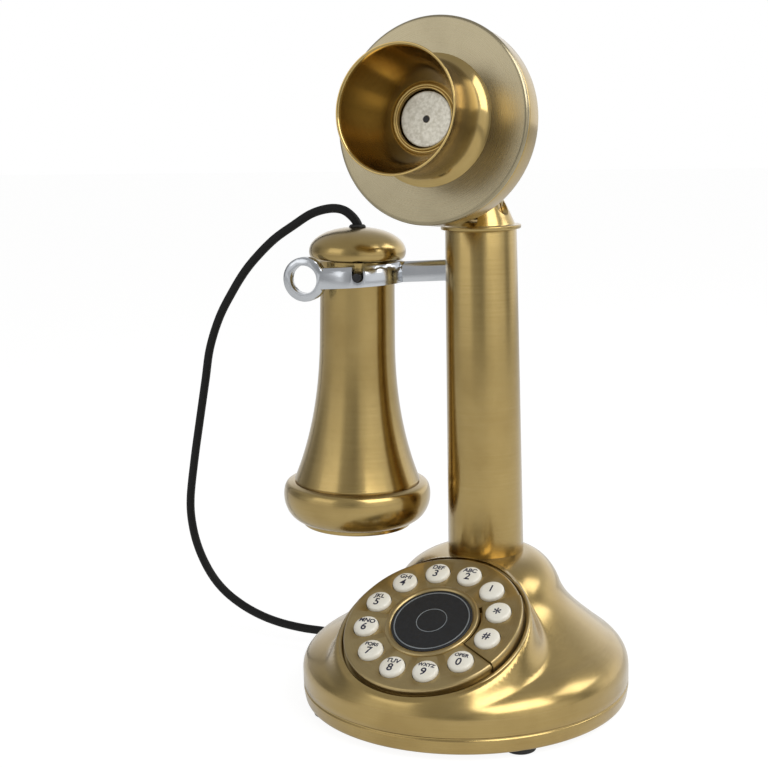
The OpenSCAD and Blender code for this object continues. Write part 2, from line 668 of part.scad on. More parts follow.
module receiver_shell() color("#a38d5c") on_receiver() rotate_extrude($fn = 144) {
    flare = curve(shell_flare, 12);
    polygon(concat([[neck_r - receiver_wall, cap_low], [neck_r, cap_low], [neck_r, -10]], flare,
        [for (i = [12:-1:0]) flare[i] - [receiver_wall, 0]]));
}

module receiver_cap() color("#a38d5c") on_receiver() difference() {
    rotate_extrude($fn = 144) polygon(concat([[0, cap_low - 5], [neck_r - receiver_wall - press_gap, cap_low - 5],
        [neck_r - receiver_wall - press_gap, cap_low], [fork_in_r - 0.35, cap_low],
        [fork_in_r - 0.35, 5.2], [cap_r - 2.2, 5.4]],
        curve([[cap_r - 1.2, 6], [cap_r, 7], [cap_r + 0.2, 9.6], [cap_r - 1, 12.2]], 5),
        curve([[cap_r - 1, 12.2], [cap_r - 4, 17], [cap_r - 11, cap_top - 0.6], [3.4, cap_top]], 8, 1),
        [[0, cap_top]]));
    translate([0, 0, cap_top - 6]) cylinder(h = 20, r = 3.3);
    translate([0, 0, -20]) cylinder(h = 50, r = 1.5);
}

module cord_sleeve() color("#1a1a1a") on_receiver() difference() {
    rotate_extrude() polygon([[0, cap_top - 6], [3.3 - press_gap, cap_top - 6], [3.3 - press_gap, cap_top],
        [3.9, cap_top], [3.9, cap_top + 0.5], [3.2, cap_top + 1.3], [0, cap_top + 1.3]]);
    translate([0, 0, cap_top - 3]) cylinder(h = 10, r = cord_d / 2 + cord_gap);
}

module receiver_pegs() color("#1a1a1a") on_receiver() difference() {
    translate([peg_shift, 0, peg_z]) rotate([90, 0, 0]) cylinder(h = 2 * fork_out_r - 0.4, r = peg_r, center = true);
    translate([0, 0, -40]) cylinder(h = 80, r = neck_r + press_gap);
}
peg_z = hook_z - receiver_z - (receiver_out - pivot_x + peg_shift) * sin(hook_droop) - peg_shift * sin(receiver_lean);

module ear_ring() color("#a38d5c") on_receiver() rotate_extrude($fn = 144) polygon(concat(
    [[ear_r - 9.4, shell_low], [ear_r - 5.6, shell_low], [ear_r - 5, shell_low - 0.4]],
    curve([[ear_r - 3, shell_low - 0.9], [ear_r, shell_low - 2], [ear_r + 0.4, shell_low - 9.5],
        [ear_r - 1.6, shell_low - 13.5]], 6),
    curve([[ear_r - 1.6, shell_low - 13.5], [ear_r - 3, shell_low - 17], [ear_r - 6, ring_low + 0.4],
        [ear_r - 9.2, ring_low]], 5, 1),
    [[ear_r - 9.5, ring_low - 0.3], [ear_r - 9.5, ring_low - 1.8], [ear_r - 10.2, ring_low - 2.1],
        [ear_r - 11.4, ring_low - 2.1], [ear_r - 11.4, ring_low + 0.2], [ear_r - 9.4, ring_low + 0.2]]));

module ear_disc() color("#2b2723") on_receiver() difference() {
    rotate_extrude($fn = 96) polygon([[0, ring_low - 1.4], [ear_r - 11.4 - press_gap, ring_low - 1.6],
        [ear_r - 11.4 - press_gap, ring_low + 0.2], [ear_r - 9.5, ring_low + 0.2], [ear_r - 9.5, ring_low + 1.6],
        [0, ring_low + 1.6]]);
    for (k = [0:2], j = [0:max(1, 6 * k) - 1]) rotate([0, 0, 60 * j / max(1, k)])
        translate([5.5 * k, 0, ring_low - 3]) cylinder(h = 6, r = 1.1, $fn = 24);
}

module speaker() color("#4a4a4a") on_receiver() translate([0, 0, ring_low + 1.6]) {
    cylinder(h = 4, r = 21);
    translate([0, 0, 4]) cylinder(h = 5, r = 11);
}

// ---- Cord ----

// Places on the axes of the receiver and of the grommet, in the phone's frame
function receiver_point(z) = let (out = receiver_out - z * sin(receiver_lean))
    [-out * cos(hook_turn), -out * sin(hook_turn), receiver_z + z * cos(receiver_lean)];

function grommet_point(out) = [(base_r + out) * cos(grommet_turn),
    (base_r + out) * sin(grommet_turn) - base_back, seam_z];

cord_route = [
    [-61.5, -8.2, 217.5], [-66.5, -8, 220.5], [-74, -7.5, 221], [-84, -7, 218.5], [-94, -7, 213],
    [-105, -6.5, 206.5], [-115, -6, 198.5], [-123, -6, 190.5], [-131, -5.5, 180.5], [-140, -5, 167],
    [-147, -4.5, 151], [-151, -4, 134.5], [-156, -3.5, 113.5], [-161, -3, 92], [-165, -2.5, 71],
    [-165, -2, 57], [-162, -1.5, 44], [-156, -1, 32], [-148, -1, 23.5], [-138, -0.5, 17],
    [-127, 0, 12.5], [-115, 0, 10], [-102, 0.5, 8.8], [-90, 0.8, 8.8]];

// The route's heights are for a receiver that hangs 183 above the seam, and rise and fall with it
cord_rise = (receiver_z - seam_z) / 183;
cord_points = concat([for (h = [-3, -0.75, 1.5]) receiver_point(cap_top + h)],
    [for (p = cord_route) [p[0], p[1], seam_z + (p[2] - seam_z) * cord_rise]],
    [for (h = [4, 0.5, -3]) grommet_point(grommet_out + h)]);

// The point a share t of the way from point i to the next, on a smooth curve through them all
function smooth_point(p, i, t) = let (n = len(p) - 1, a = p[max(i - 1, 0)], b = p[i], c = p[min(i + 1, n)],
    d = p[min(i + 2, n)])
    0.5 * (2 * b + t * (c - a) + t * t * (2 * a - 5 * b + 4 * c - d) + t * t * t * (3 * b - a - 3 * c + d));

module receiver_cord() color("#111111") {
    spans = len(cord_points) - 2;
    swept_tube(concat([for (i = [0:spans], t = [0, 0.34, 0.67]) smooth_point(cord_points, i, t)],
        [cord_points[spans + 1]]), cord_d / 2, 8);
}

base_plate();
rubber_feet();
base_screws();
ballast_weight();
base_housing();
cord_grommet();
line_jack();
main_board();
ringer();
column_tube();
column_plug();
column_bolt();
column_cap();
tilt_screw();
hook_carrier();
hook_pin();
hook_spring();
hook_switch();
hook_lever();
dial_plate();
dial_sector();
dial_ring();
dial_badge();
keypad_mat();
keypad_board();
key(0);  // key_1
key(1);  // key_2
key(2);  // key_3
key(3);  // key_4
key(4);  // key_5
key(5);  // key_6
key(6);  // key_7
key(7);  // key_8
key(8);  // key_9
key(9);  // key_0
key(10);  // key_hash
key(11);  // key_star
dial_screws();
transmitter_cup();
transmitter_face();
mouthpiece();
microphone();
microphone_cover();
receiver_shell();
receiver_cap();
receiver_pegs();
ear_ring();
ear_disc();
speaker();
cord_sleeve();
receiver_cord();
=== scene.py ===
# A candlestick desk telephone in brushed antique brass, with twelve push buttons set round a dial.
import math

import bmesh
import bpy
from mathutils import Matrix, Vector


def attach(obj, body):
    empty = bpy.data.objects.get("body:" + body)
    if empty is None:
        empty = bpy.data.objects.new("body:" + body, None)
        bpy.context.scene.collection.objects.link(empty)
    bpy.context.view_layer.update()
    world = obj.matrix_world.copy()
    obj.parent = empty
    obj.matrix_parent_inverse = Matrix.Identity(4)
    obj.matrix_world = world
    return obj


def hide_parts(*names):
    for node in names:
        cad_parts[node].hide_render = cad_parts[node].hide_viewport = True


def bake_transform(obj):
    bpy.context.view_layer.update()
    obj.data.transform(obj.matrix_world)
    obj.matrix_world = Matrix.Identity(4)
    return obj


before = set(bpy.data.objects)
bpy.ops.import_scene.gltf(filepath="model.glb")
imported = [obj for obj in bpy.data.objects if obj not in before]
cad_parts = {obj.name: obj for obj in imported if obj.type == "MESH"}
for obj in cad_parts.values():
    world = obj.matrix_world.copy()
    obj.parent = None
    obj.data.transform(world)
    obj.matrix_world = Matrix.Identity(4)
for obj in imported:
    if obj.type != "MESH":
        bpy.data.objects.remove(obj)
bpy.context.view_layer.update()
scene = bpy.context.scene
mm = 0.001

# where things are


def moved(x, y, z):
    return Matrix.Translation((x * mm, y * mm, z * mm))


def turned(degrees, axis):
    return Matrix.Rotation(math.radians(degrees), 4, axis)


places = {"baseBack": 25.7, "dialForward": 59.3, "dialHeight": 45.8, "dialTilt": 27, "faceForward": 50.6,
          "faceHeight": 260.6, "faceTilt": 8.6, "hookTurn": 8, "receiverHeight": 192.5, "receiverOut": 60,
          "receiverLean": 1.9}
onPhone = Matrix.Identity(4)
onBase = moved(0, -places["baseBack"], 0)
onDial = moved(0, -places["dialForward"], places["dialHeight"]) @ turned(places["dialTilt"], "X")
onFace = moved(0, -places["faceForward"], places["faceHeight"]) @ turned(90 - places["faceTilt"], "X")
onHookSide = turned(180 + places["hookTurn"], "Z")
onReceiver = (onHookSide @ moved(places["receiverOut"], 0, places["receiverHeight"])
              @ turned(-places["receiverLean"], "Y"))

camera = {"place": (0.26981, -0.61113, 0.26198), "turn": 27.7327, "down": 10.2149, "roll": -1.5845,
          "lens": 69.15}


def makeCamera():
    turn, down, roll = (math.radians(camera[key]) for key in ("turn", "down", "roll"))
    back = Vector((math.sin(turn) * math.cos(down), -math.cos(turn) * math.cos(down), math.sin(down)))
    level = Vector((math.cos(turn), math.sin(turn), 0))
    upright = back.cross(level)
    right = level * math.cos(roll) + upright * math.sin(roll)
    up = upright * math.cos(roll) - level * math.sin(roll)
    data = bpy.data.cameras.new("camera")
    data.lens = camera["lens"]
    data.sensor_width = 36
    data.clip_end = 50
    thing = bpy.data.objects.new("camera", data)
    axes = Matrix((right, up, back)).transposed().to_4x4()
    thing.matrix_world = Matrix.Translation(camera["place"]) @ axes
    scene.collection.objects.link(thing)
    scene.camera = thing


makeCamera()
print("camera is set")

# helpers


def addNode(tree, kind, links=None, **settings):
    node = tree.nodes.new(kind)
    for key, value in settings.items():
        setattr(node, key, value)
    for socket, source in (links or {}).items():
        if isinstance(source, bpy.types.NodeSocket):
            tree.links.new(source, node.inputs[socket])
        else:
            node.inputs[socket].default_value = source
    return node


def setInput(modifier, label, value):
    for item in modifier.node_group.interface.items_tree:
        if item.item_type == "SOCKET" and item.in_out == "INPUT" and item.name == label:
            modifier[item.identifier] = value


def linked(name, mesh):
    thing = bpy.data.objects.new(name, mesh)
    scene.collection.objects.link(thing)
    return thing


def settled(thing, name=None, place=None):
    # the modifiers' result as a plain mesh, with its place in the mesh
    bpy.context.view_layer.update()
    shape = bpy.data.meshes.new_from_object(thing.evaluated_get(bpy.context.evaluated_depsgraph_get()))
    if place is not None:
        shape.transform(place)
    name = name or thing.name
    bpy.data.objects.remove(thing)
    return linked(name, shape)


def smoothed(piece, angle=32, outward=True):
    shape = bmesh.new()
    shape.from_mesh(piece.data)
    bmesh.ops.remove_doubles(shape, verts=shape.verts, dist=1e-6)
    if outward:
        bmesh.ops.recalc_face_normals(shape, faces=shape.faces)
    for face in shape.faces:
        face.smooth = True
    shape.to_mesh(piece.data)
    shape.free()
    piece.data.set_sharp_from_angle(angle=math.radians(angle))
    return piece


def carved(piece, cutters, operation="DIFFERENCE", bevel=0, segments=2):
    for cutter in cutters:
        step = piece.modifiers.new("Cut", "BOOLEAN")
        step.operation = operation
        step.solver = "EXACT"
        step.object = cutter
    if bevel:
        step = piece.modifiers.new("Bevel", "BEVEL")
        step.width = bevel * mm
        step.segments = segments
        step.limit_method = "ANGLE"
        step.angle_limit = math.radians(35)
        step.use_clamp_overlap = True
    piece = settled(piece)
    for cutter in cutters:
        bpy.data.objects.remove(cutter)
    return piece


def bezier(controls, steps, first=0):
    points = []
    for i in range(first, steps + 1):
        t = i / steps
        shares = ((1 - t) ** 3, 3 * (1 - t) ** 2 * t, 3 * (1 - t) * t * t, t ** 3)
        points.append(tuple(sum(s * p[k] for s, p in zip(shares, controls)) for k in (0, 1)))
    return points


def softened(outline, closed, steps=4):
    # a corner written (radius, height, rounding) is rounded off
    points = []
    for i, corner in enumerate(outline):
        if len(corner) < 3 or (not closed and i in (0, len(outline) - 1)):
            points.append(corner[:2])
            continue
        here, before, after = (Vector(outline[k % len(outline)][:2]) for k in (i, i - 1, i + 1))
        start = here + (before - here).normalized() * min(corner[2], (before - here).length * 0.48)
        stop = here + (after - here).normalized() * min(corner[2], (after - here).length * 0.48)
        for k in range(steps + 1):
            t = k / steps
            points.append(tuple(start.lerp(here, t).lerp(here.lerp(stop, t), t)))
    return points


def makeTurningTree():
    # an outline of (radius, height) points turned round the Z axis
    tree = bpy.data.node_groups.new("turnedOutline", "GeometryNodeTree")
    tree.interface.new_socket("Geometry", in_out="INPUT", socket_type="NodeSocketGeometry")
    tree.interface.new_socket("Steps", in_out="INPUT", socket_type="NodeSocketInt")
    tree.interface.new_socket("Finish", in_out="INPUT", socket_type="NodeSocketMaterial")
    tree.interface.new_socket("Geometry", in_out="OUTPUT", socket_type="NodeSocketGeometry")
    given = addNode(tree, "NodeGroupInput")
    outline = given.outputs["Geometry"]
    count = addNode(tree, "GeometryNodeAttributeDomainSize", {"Geometry": outline}).outputs["Point Count"]
    around = addNode(tree, "ShaderNodeMath", {0: given.outputs["Steps"], 1: 1.0}).outputs[0]
    grid = addNode(tree, "GeometryNodeMeshGrid", {"Vertices X": count, "Vertices Y": around})
    across = addNode(tree, "ShaderNodeSeparateXYZ", {0: grid.outputs["UV Map"]})
    last = addNode(tree, "ShaderNodeMath", {0: count, 1: 1.0}, operation="SUBTRACT").outputs[0]
    index = addNode(tree, "ShaderNodeMath", {0: across.outputs["X"], 1: last},
                    operation="MULTIPLY").outputs[0]
    index = addNode(tree, "ShaderNodeMath", {0: index}, operation="ROUND").outputs[0]
    place = addNode(tree, "GeometryNodeInputPosition").outputs[0]
    sample = addNode(tree, "GeometryNodeSampleIndex", data_type="FLOAT_VECTOR")
    tree.links.new(outline, sample.inputs["Geometry"])
    tree.links.new(place, next(s for s in sample.inputs if s.name == "Value" and s.enabled))
    tree.links.new(index, sample.inputs["Index"])
    point = addNode(tree, "ShaderNodeSeparateXYZ", {0: next(s for s in sample.outputs if s.enabled)})
    angle = addNode(tree, "ShaderNodeMath", {0: across.outputs["Y"], 1: math.tau},
                    operation="MULTIPLY").outputs[0]
    cosine = addNode(tree, "ShaderNodeMath", {0: angle}, operation="COSINE").outputs[0]
    sine = addNode(tree, "ShaderNodeMath", {0: angle}, operation="SINE").outputs[0]
    x = addNode(tree, "ShaderNodeMath", {0: point.outputs["X"], 1: cosine}, operation="MULTIPLY").outputs[0]
    y = addNode(tree, "ShaderNodeMath", {0: point.outputs["X"], 1: sine}, operation="MULTIPLY").outputs[0]
    spot = addNode(tree, "ShaderNodeCombineXYZ", {0: x, 1: y, 2: point.outputs["Z"]}).outputs[0]
    marked = addNode(tree, "GeometryNodeStoreNamedAttribute",
                     {"Geometry": grid.outputs["Mesh"], "Name": "turning"},
                     data_type="FLOAT2", domain="CORNER")
    tree.links.new(grid.outputs["UV Map"], next(s for s in marked.inputs if s.name == "Value" and s.enabled))
    shaped = addNode(tree, "GeometryNodeSetPosition", {"Geometry": marked.outputs[0], "Position": spot})
    joined = addNode(tree, "GeometryNodeMergeByDistance", {"Geometry": shaped.outputs[0], "Distance": 1e-6})
    real = addNode(tree, "GeometryNodeRealizeInstances", {"Geometry": joined.outputs[0]})
    dressed = addNode(tree, "GeometryNodeSetMaterial",
                      {"Geometry": real.outputs[0], "Material": given.outputs["Finish"]})
    addNode(tree, "NodeGroupOutput", {"Geometry": dressed.outputs[0]})
    return tree


def makeScatterTree():
    # copies of a small shape, one on each point of the piece's own mesh
    tree = bpy.data.node_groups.new("copiesOnPoints", "GeometryNodeTree")
    tree.interface.new_socket("Geometry", in_out="INPUT", socket_type="NodeSocketGeometry")
    tree.interface.new_socket("Shape", in_out="INPUT", socket_type="NodeSocketObject")
    tree.interface.new_socket("Turn step", in_out="INPUT", socket_type="NodeSocketFloat")
    tree.interface.new_socket("Finish", in_out="INPUT", socket_type="NodeSocketMaterial")
    tree.interface.new_socket("Geometry", in_out="OUTPUT", socket_type="NodeSocketGeometry")
    given = addNode(tree, "NodeGroupInput")
    shape = addNode(tree, "GeometryNodeObjectInfo", {"Object": given.outputs["Shape"]})
    index = addNode(tree, "GeometryNodeInputIndex").outputs[0]
    turn = addNode(tree, "ShaderNodeMath", {0: index, 1: given.outputs["Turn step"]},
                   operation="MULTIPLY").outputs[0]
    turn = addNode(tree, "ShaderNodeCombineXYZ", {2: turn}).outputs[0]
    copies = addNode(tree, "GeometryNodeInstanceOnPoints", {"Points": given.outputs["Geometry"],
                     "Instance": shape.outputs["Geometry"], "Rotation": turn})
    real = addNode(tree, "GeometryNodeRealizeInstances", {"Geometry": copies.outputs[0]})
    dressed = addNode(tree, "GeometryNodeSetMaterial",
                      {"Geometry": real.outputs[0], "Material": given.outputs["Finish"]})
    addNode(tree, "NodeGroupOutput", {"Geometry": dressed.outputs[0]})
    return tree


turningTree = makeTurningTree()
scatterTree = makeScatterTree()


def turnedPiece(name, outline, place=onPhone, finish=None, closed=False, steps=160, angle=32):
    points = softened(outline, closed)
    if closed:
        points.append(points[0])
    shape = bpy.data.meshes.new(name)
    edges = [(i, i + 1) for i in range(len(points) - 1)]
    shape.from_pydata([(r * mm, 0, z * mm) for r, z in points], edges, [])
    piece = linked(name, shape)
    step = piece.modifiers.new("Turned outline", "NODES")
    step.node_group = turningTree
    setInput(step, "Steps", steps)
    setInput(step, "Finish", finish)
    return smoothed(settled(piece, name, place), angle)


def copiesOnPoints(name, shape, points, place=onPhone, finish=None, turnStep=0.0):
    spots = bpy.data.meshes.new(name)
    spots.from_pydata([(x * mm, y * mm, z * mm) for x, y, z in points], [], [])
    piece = linked(name, spots)
    step = piece.modifiers.new("Copies", "NODES")
    step.node_group = scatterTree
    setInput(step, "Shape", shape)
    setInput(step, "Turn step", turnStep)
    setInput(step, "Finish", finish)
    piece = settled(piece, name, place)
    bpy.data.objects.remove(shape)
    return piece


def prism(name, outline, low, high, place=onPhone):
    # a flat outline of (x, y) points with a thickness
    shape = bmesh.new()
    ring = [shape.verts.new((x * mm, y * mm, low * mm)) for x, y in outline]
    base = shape.faces.new(ring)
    raised = bmesh.ops.extrude_face_region(shape, geom=[base])["geom"]
    bmesh.ops.translate(shape, verts=[v for v in raised if isinstance(v, bmesh.types.BMVert)],
                        vec=(0, 0, (high - low) * mm))
    bmesh.ops.recalc_face_normals(shape, faces=shape.faces)
    mesh = bpy.data.meshes.new(name)
    shape.to_mesh(mesh)
    shape.free()
    mesh.transform(place)
    return linked(name, mesh)


def roundOutline(radius, steps=64, centre=(0, 0)):
    turns = [math.tau * i / steps for i in range(steps)]
    return [(centre[0] + radius * math.cos(t), centre[1] + radius * math.sin(t)) for t in turns]


def boxOutline(x0, x1, y0, y1):
    return [(x0, y0), (x1, y0), (x1, y1), (x0, y1)]


def joinedPieces(name, pieces):
    shape = bmesh.new()
    for piece in pieces:
        shape.from_mesh(piece.data)
    mesh = pieces[0].data
    shape.to_mesh(mesh)
    shape.free()
    for piece in pieces[1:]:
        bpy.data.objects.remove(piece)
    pieces[0].name = name
    return pieces[0]


def fromNode(node, name, bevel=0.0, segments=2, angle=32):
    # a cleaned copy of a CAD node, with its hard edges softened
    shape = bmesh.new()
    shape.from_mesh(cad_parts[node].data)
    bmesh.ops.remove_doubles(shape, verts=shape.verts, dist=2e-6)
    bmesh.ops.dissolve_limit(shape, angle_limit=math.radians(1.5), verts=shape.verts, edges=shape.edges)
    mesh = bpy.data.meshes.new(name)
    shape.to_mesh(mesh)
    shape.free()
    mesh.transform(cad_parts[node].matrix_world)
    piece = linked(name, mesh)
    if bevel:
        step = piece.modifiers.new("Bevel", "BEVEL")
        step.width = bevel * mm
        step.segments = segments
        step.limit_method = "ANGLE"
        step.angle_limit = math.radians(38)
        piece = settled(piece, name)
    return smoothed(piece, angle, outward=False)


def fitted(piece, finish, body, slot, *nodes):
    piece.data.materials.clear()
    piece.data.materials.append(finish)
    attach(piece, body)
    if nodes:
        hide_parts(*nodes)
    return piece


# finishes


def linear(code):
    values = [int(code[i:i + 2], 16) / 255 for i in (1, 3, 5)]
    return [v / 12.92 if v <= 0.04045 else ((v + 0.055) / 1.055) ** 2.4 for v in values] + [1]


def newFinish(name):
    finish = bpy.data.materials.new(name)
    finish.use_nodes = True
    finish.node_tree.nodes.clear()
    tree = finish.node_tree
    shader = addNode(tree, "ShaderNodeBsdfPrincipled")
    addNode(tree, "ShaderNodeOutputMaterial", {"Surface": shader.outputs[0]})
    return finish, tree, shader


def localPoint(tree, place):
    # the point as the piece's own turning axis sees it
    where, turn, _ = place.decompose()
    point = addNode(tree, "ShaderNodeTexCoord").outputs["Object"]
    return addNode(tree, "ShaderNodeMapping",
                   {"Vector": point, "Location": where, "Rotation": turn.to_euler("XYZ")},
                   vector_type="TEXTURE").outputs[0]


# the brushed lines are drawn 0.28 mm wide, coarser than real ones, so that they show
brass = {"light": "#B69E65", "mid": "#AB9154", "dark": "#8F753D", "tarnish": "#7B6437", "rough": 0.22,
         "lineWidth": 0.28, "lineLength": 26, "cloud": 22, "speck": 1.1, "streak": 0.55, "lacquer": 0.6,
         "lacquerRough": 0.2}
dialBrass = {"light": "#B5A173", "mid": "#AA9460", "dark": "#8F7947"}
shadedGreyBrass = {"light": "#A2977B", "mid": "#958A6C", "dark": "#7F7459"}  # the face plate's painted shade: a greyer, dimmer brass


def satinBrass(name, place, radius=20, rough=None, lines=1.0, tone=brass):
    # antique brass, turned, brushed round its axis and lacquered: warm metal, fine rings, long glints
    finish, tree, shader = newFinish(name)
    point = localPoint(tree, place)
    axes = addNode(tree, "ShaderNodeSeparateXYZ", {0: point})
    flat = addNode(tree, "ShaderNodeCombineXYZ", {0: axes.outputs["X"], 1: axes.outputs["Y"]}).outputs[0]
    heading = addNode(tree, "ShaderNodeVectorMath", {0: flat}, operation="NORMALIZE").outputs[0]
    heading = addNode(tree, "ShaderNodeSeparateXYZ", {0: heading})
    reach = addNode(tree, "ShaderNodeVectorMath", {0: flat}, operation="LENGTH").outputs["Value"]
    along = radius / brass["lineLength"]
    fine = 1 / (brass["lineWidth"] * mm)
    a = addNode(tree, "ShaderNodeMath", {0: heading.outputs["X"], 1: along}, operation="MULTIPLY").outputs[0]
    b = addNode(tree, "ShaderNodeMath", {0: heading.outputs["Y"], 1: along}, operation="MULTIPLY").outputs[0]
    c = addNode(tree, "ShaderNodeMath", {0: reach, 1: fine}, operation="MULTIPLY").outputs[0]
    d = addNode(tree, "ShaderNodeMath", {0: axes.outputs["Z"], 1: fine}, operation="MULTIPLY").outputs[0]
    ring = addNode(tree, "ShaderNodeCombineXYZ", {0: a, 1: b, 2: c}).outputs[0]
    brushing = addNode(tree, "ShaderNodeTexNoise", {"Vector": ring, "W": d, "Scale": 1.0, "Detail": 3.0,
                       "Roughness": 0.62}, noise_dimensions="4D").outputs[0]
    cloud = addNode(tree, "ShaderNodeTexNoise", {"Vector": point, "Scale": 1 / (brass["cloud"] * mm),
                    "Detail": 3.0, "Roughness": 0.55}).outputs[0]
    speck = addNode(tree, "ShaderNodeTexNoise", {"Vector": point, "Scale": 1 / (brass["speck"] * mm),
                    "Detail": 2.0}).outputs[0]
    share = addNode(tree, "ShaderNodeMapRange", {"Value": brushing, "From Min": 0.25, "From Max": 0.75})
    colour = addNode(tree, "ShaderNodeMix", {0: share.outputs[0], 6: linear(tone["mid"]),
                     7: linear(tone["light"])}, data_type="RGBA").outputs[2]
    share = addNode(tree, "ShaderNodeMapRange", {"Value": cloud, "From Min": 0.42, "From Max": 0.72,
                    "To Max": 0.38})
    colour = addNode(tree, "ShaderNodeMix", {0: share.outputs[0], 6: colour, 7: linear(tone["dark"])},
                     data_type="RGBA").outputs[2]
    share = addNode(tree, "ShaderNodeMapRange", {"Value": speck, "From Min": 0.62, "From Max": 0.8,
                    "To Max": 0.22})
    colour = addNode(tree, "ShaderNodeMix", {0: share.outputs[0], 6: colour, 7: linear(brass["tarnish"])},
                     data_type="RGBA").outputs[2]
    rough = rough or brass["rough"]
    shader.inputs["Metallic"].default_value = 1
    shader.inputs["Anisotropic"].default_value = brass["streak"]
    shader.inputs["Coat Weight"].default_value = brass["lacquer"]
    shader.inputs["Coat Roughness"].default_value = brass["lacquerRough"]
    tree.links.new(addNode(tree, "ShaderNodeTangent", direction_type="UV_MAP", uv_map="turning").outputs[0],
                   shader.inputs["Tangent"])
    tree.links.new(colour, shader.inputs["Base Color"])
    polish = addNode(tree, "ShaderNodeMapRange", {"Value": brushing, "From Min": 0.25, "From Max": 0.75,
                     "To Min": rough - 0.02, "To Max": rough + 0.03})
    tree.links.new(polish.outputs[0], shader.inputs["Roughness"])
    bump = addNode(tree, "ShaderNodeBump", {"Height": brushing, "Strength": 0.03 * lines,
                   "Distance": 0.05 * mm})
    tree.links.new(bump.outputs[0], shader.inputs["Normal"])
    return finish


def plainFinish(name, light, dark, rough, metal=0.0, grain=1.0, bump=0.05, depth=0.02, cloud=12.0, **more):
    # two close colours in soft clouds, with a fine grain in the surface
    finish, tree, shader = newFinish(name)
    point = addNode(tree, "ShaderNodeTexCoord").outputs["Object"]
    clouds = addNode(tree, "ShaderNodeTexNoise", {"Vector": point, "Scale": 1 / (cloud * mm), "Detail": 3.0})
    fine = addNode(tree, "ShaderNodeTexNoise", {"Vector": point, "Scale": 1 / (grain * mm),
                   "Detail": 2.0}).outputs[0]
    share = addNode(tree, "ShaderNodeMapRange", {"Value": clouds.outputs[0], "From Min": 0.35,
                    "From Max": 0.65})
    colour = addNode(tree, "ShaderNodeMix", {0: share.outputs[0], 6: linear(light), 7: linear(dark)},
                     data_type="RGBA").outputs[2]
    polish = addNode(tree, "ShaderNodeMapRange", {"Value": fine, "From Min": 0.3, "From Max": 0.7,
                     "To Min": rough - 0.03, "To Max": rough + 0.04})
    tree.links.new(colour, shader.inputs["Base Color"])
    tree.links.new(polish.outputs[0], shader.inputs["Roughness"])
    shader.inputs["Metallic"].default_value = metal
    for label, value in more.items():
        shader.inputs[label.replace("_", " ")].default_value = value
    lift = addNode(tree, "ShaderNodeBump", {"Height": fine, "Strength": bump, "Distance": depth * mm})
    tree.links.new(lift.outputs[0], shader.inputs["Normal"])
    return finish


# one brass on every turned piece, its rings round that piece's own axis; the horn is polished closer
brassBase = satinBrass("satinBrassBase", onBase, 60)
brassColumn = satinBrass("satinBrassColumn", onPhone, 17)
brassDial = satinBrass("satinBrassDial", onDial, 30, rough=0.33, tone=dialBrass)
brassFace = satinBrass("satinBrassTransmitter", onFace, 34)
# the face plate wears a greyer, dimmer copy of the brass, painted shade for its weaker reflection; the cup
# keeps the brighter one
brassPlate = satinBrass("dulledBrassPlate", onFace, 34, rough=0.27, tone=shadedGreyBrass)
brassReceiver = satinBrass("satinBrassReceiver", onReceiver, 24)
brassHorn = satinBrass("polishedBrassHorn", onFace, 24, rough=0.15, lines=0.4)
# polished chrome plate: a cool mirror, barely softened
chrome = plainFinish("polishedChrome", "#C8CBCF", "#BEC2C7", 0.16, metal=1.0, grain=0.6, bump=0.02)
# zinc-plated steel: cold grey with a dull shine
steel = plainFinish("zincPlatedSteel", "#B9BCBF", "#A4A7AB", 0.34, metal=1.0, grain=0.4, bump=0.08)
# moulded ABS, ivory: warm white with a soft shine
ivory = plainFinish("mouldedIvoryPlastic", "#F3F0E4", "#EEE9DA", 0.24, grain=0.5, bump=0.03, cloud=6)
# printed ink: blue-black and nearly matt
ink = plainFinish("printedInk", "#16183A", "#11122C", 0.45, grain=0.3, bump=0.02)
# moulded rubber: dark, matt, finely grained
rubber = plainFinish("mouldedBlackRubber", "#201F1E", "#171615", 0.62, grain=0.35, bump=0.25, depth=0.05)
# moulded silicone: matt grey
siliconeMat = plainFinish("siliconeKeypadMat", "#5C5F63", "#515458", 0.55, grain=0.5, bump=0.1)
# moulded black plastic from a grained tool: a broken, quiet shine
blackPlastic = plainFinish("mouldedBlackPlastic", "#1D1D1F", "#141416", 0.42, grain=0.35, bump=0.15,
                           depth=0.04)
# glass-fibre board under green varnish
greenBoard = plainFinish("circuitBoard", "#1F5A37", "#194B2E", 0.35, grain=0.8, bump=0.05)
# enamel over a grained disc: black with small glints
badgeBlack = plainFinish("grainedBlackEnamel", "#0E1014", "#16191E", 0.46, grain=0.55, bump=0.7, depth=0.12,
                         cloud=1.6)
# printed silver: thin, slightly dull
badgeSilver = plainFinish("printedSilver", "#AEB6BC", "#9CA4AB", 0.32, metal=0.85, grain=0.3, bump=0.05)
# stamped and tumbled aluminium: pale and speckled
capsuleMetal = plainFinish("stampedAluminium", "#C9C5B9", "#AFAA9C", 0.34, metal=1.0, grain=0.9, bump=0.35,
                           depth=0.06, cloud=1.4)
# extruded cord jacket: black, with little shine
cordBlack = plainFinish("blackCordJacket", "#070707", "#0C0C0C", 0.6, grain=0.7, bump=0.06, depth=0.05,
                        Specular_IOR_Level=0.3)
print("finishes are made")

# base

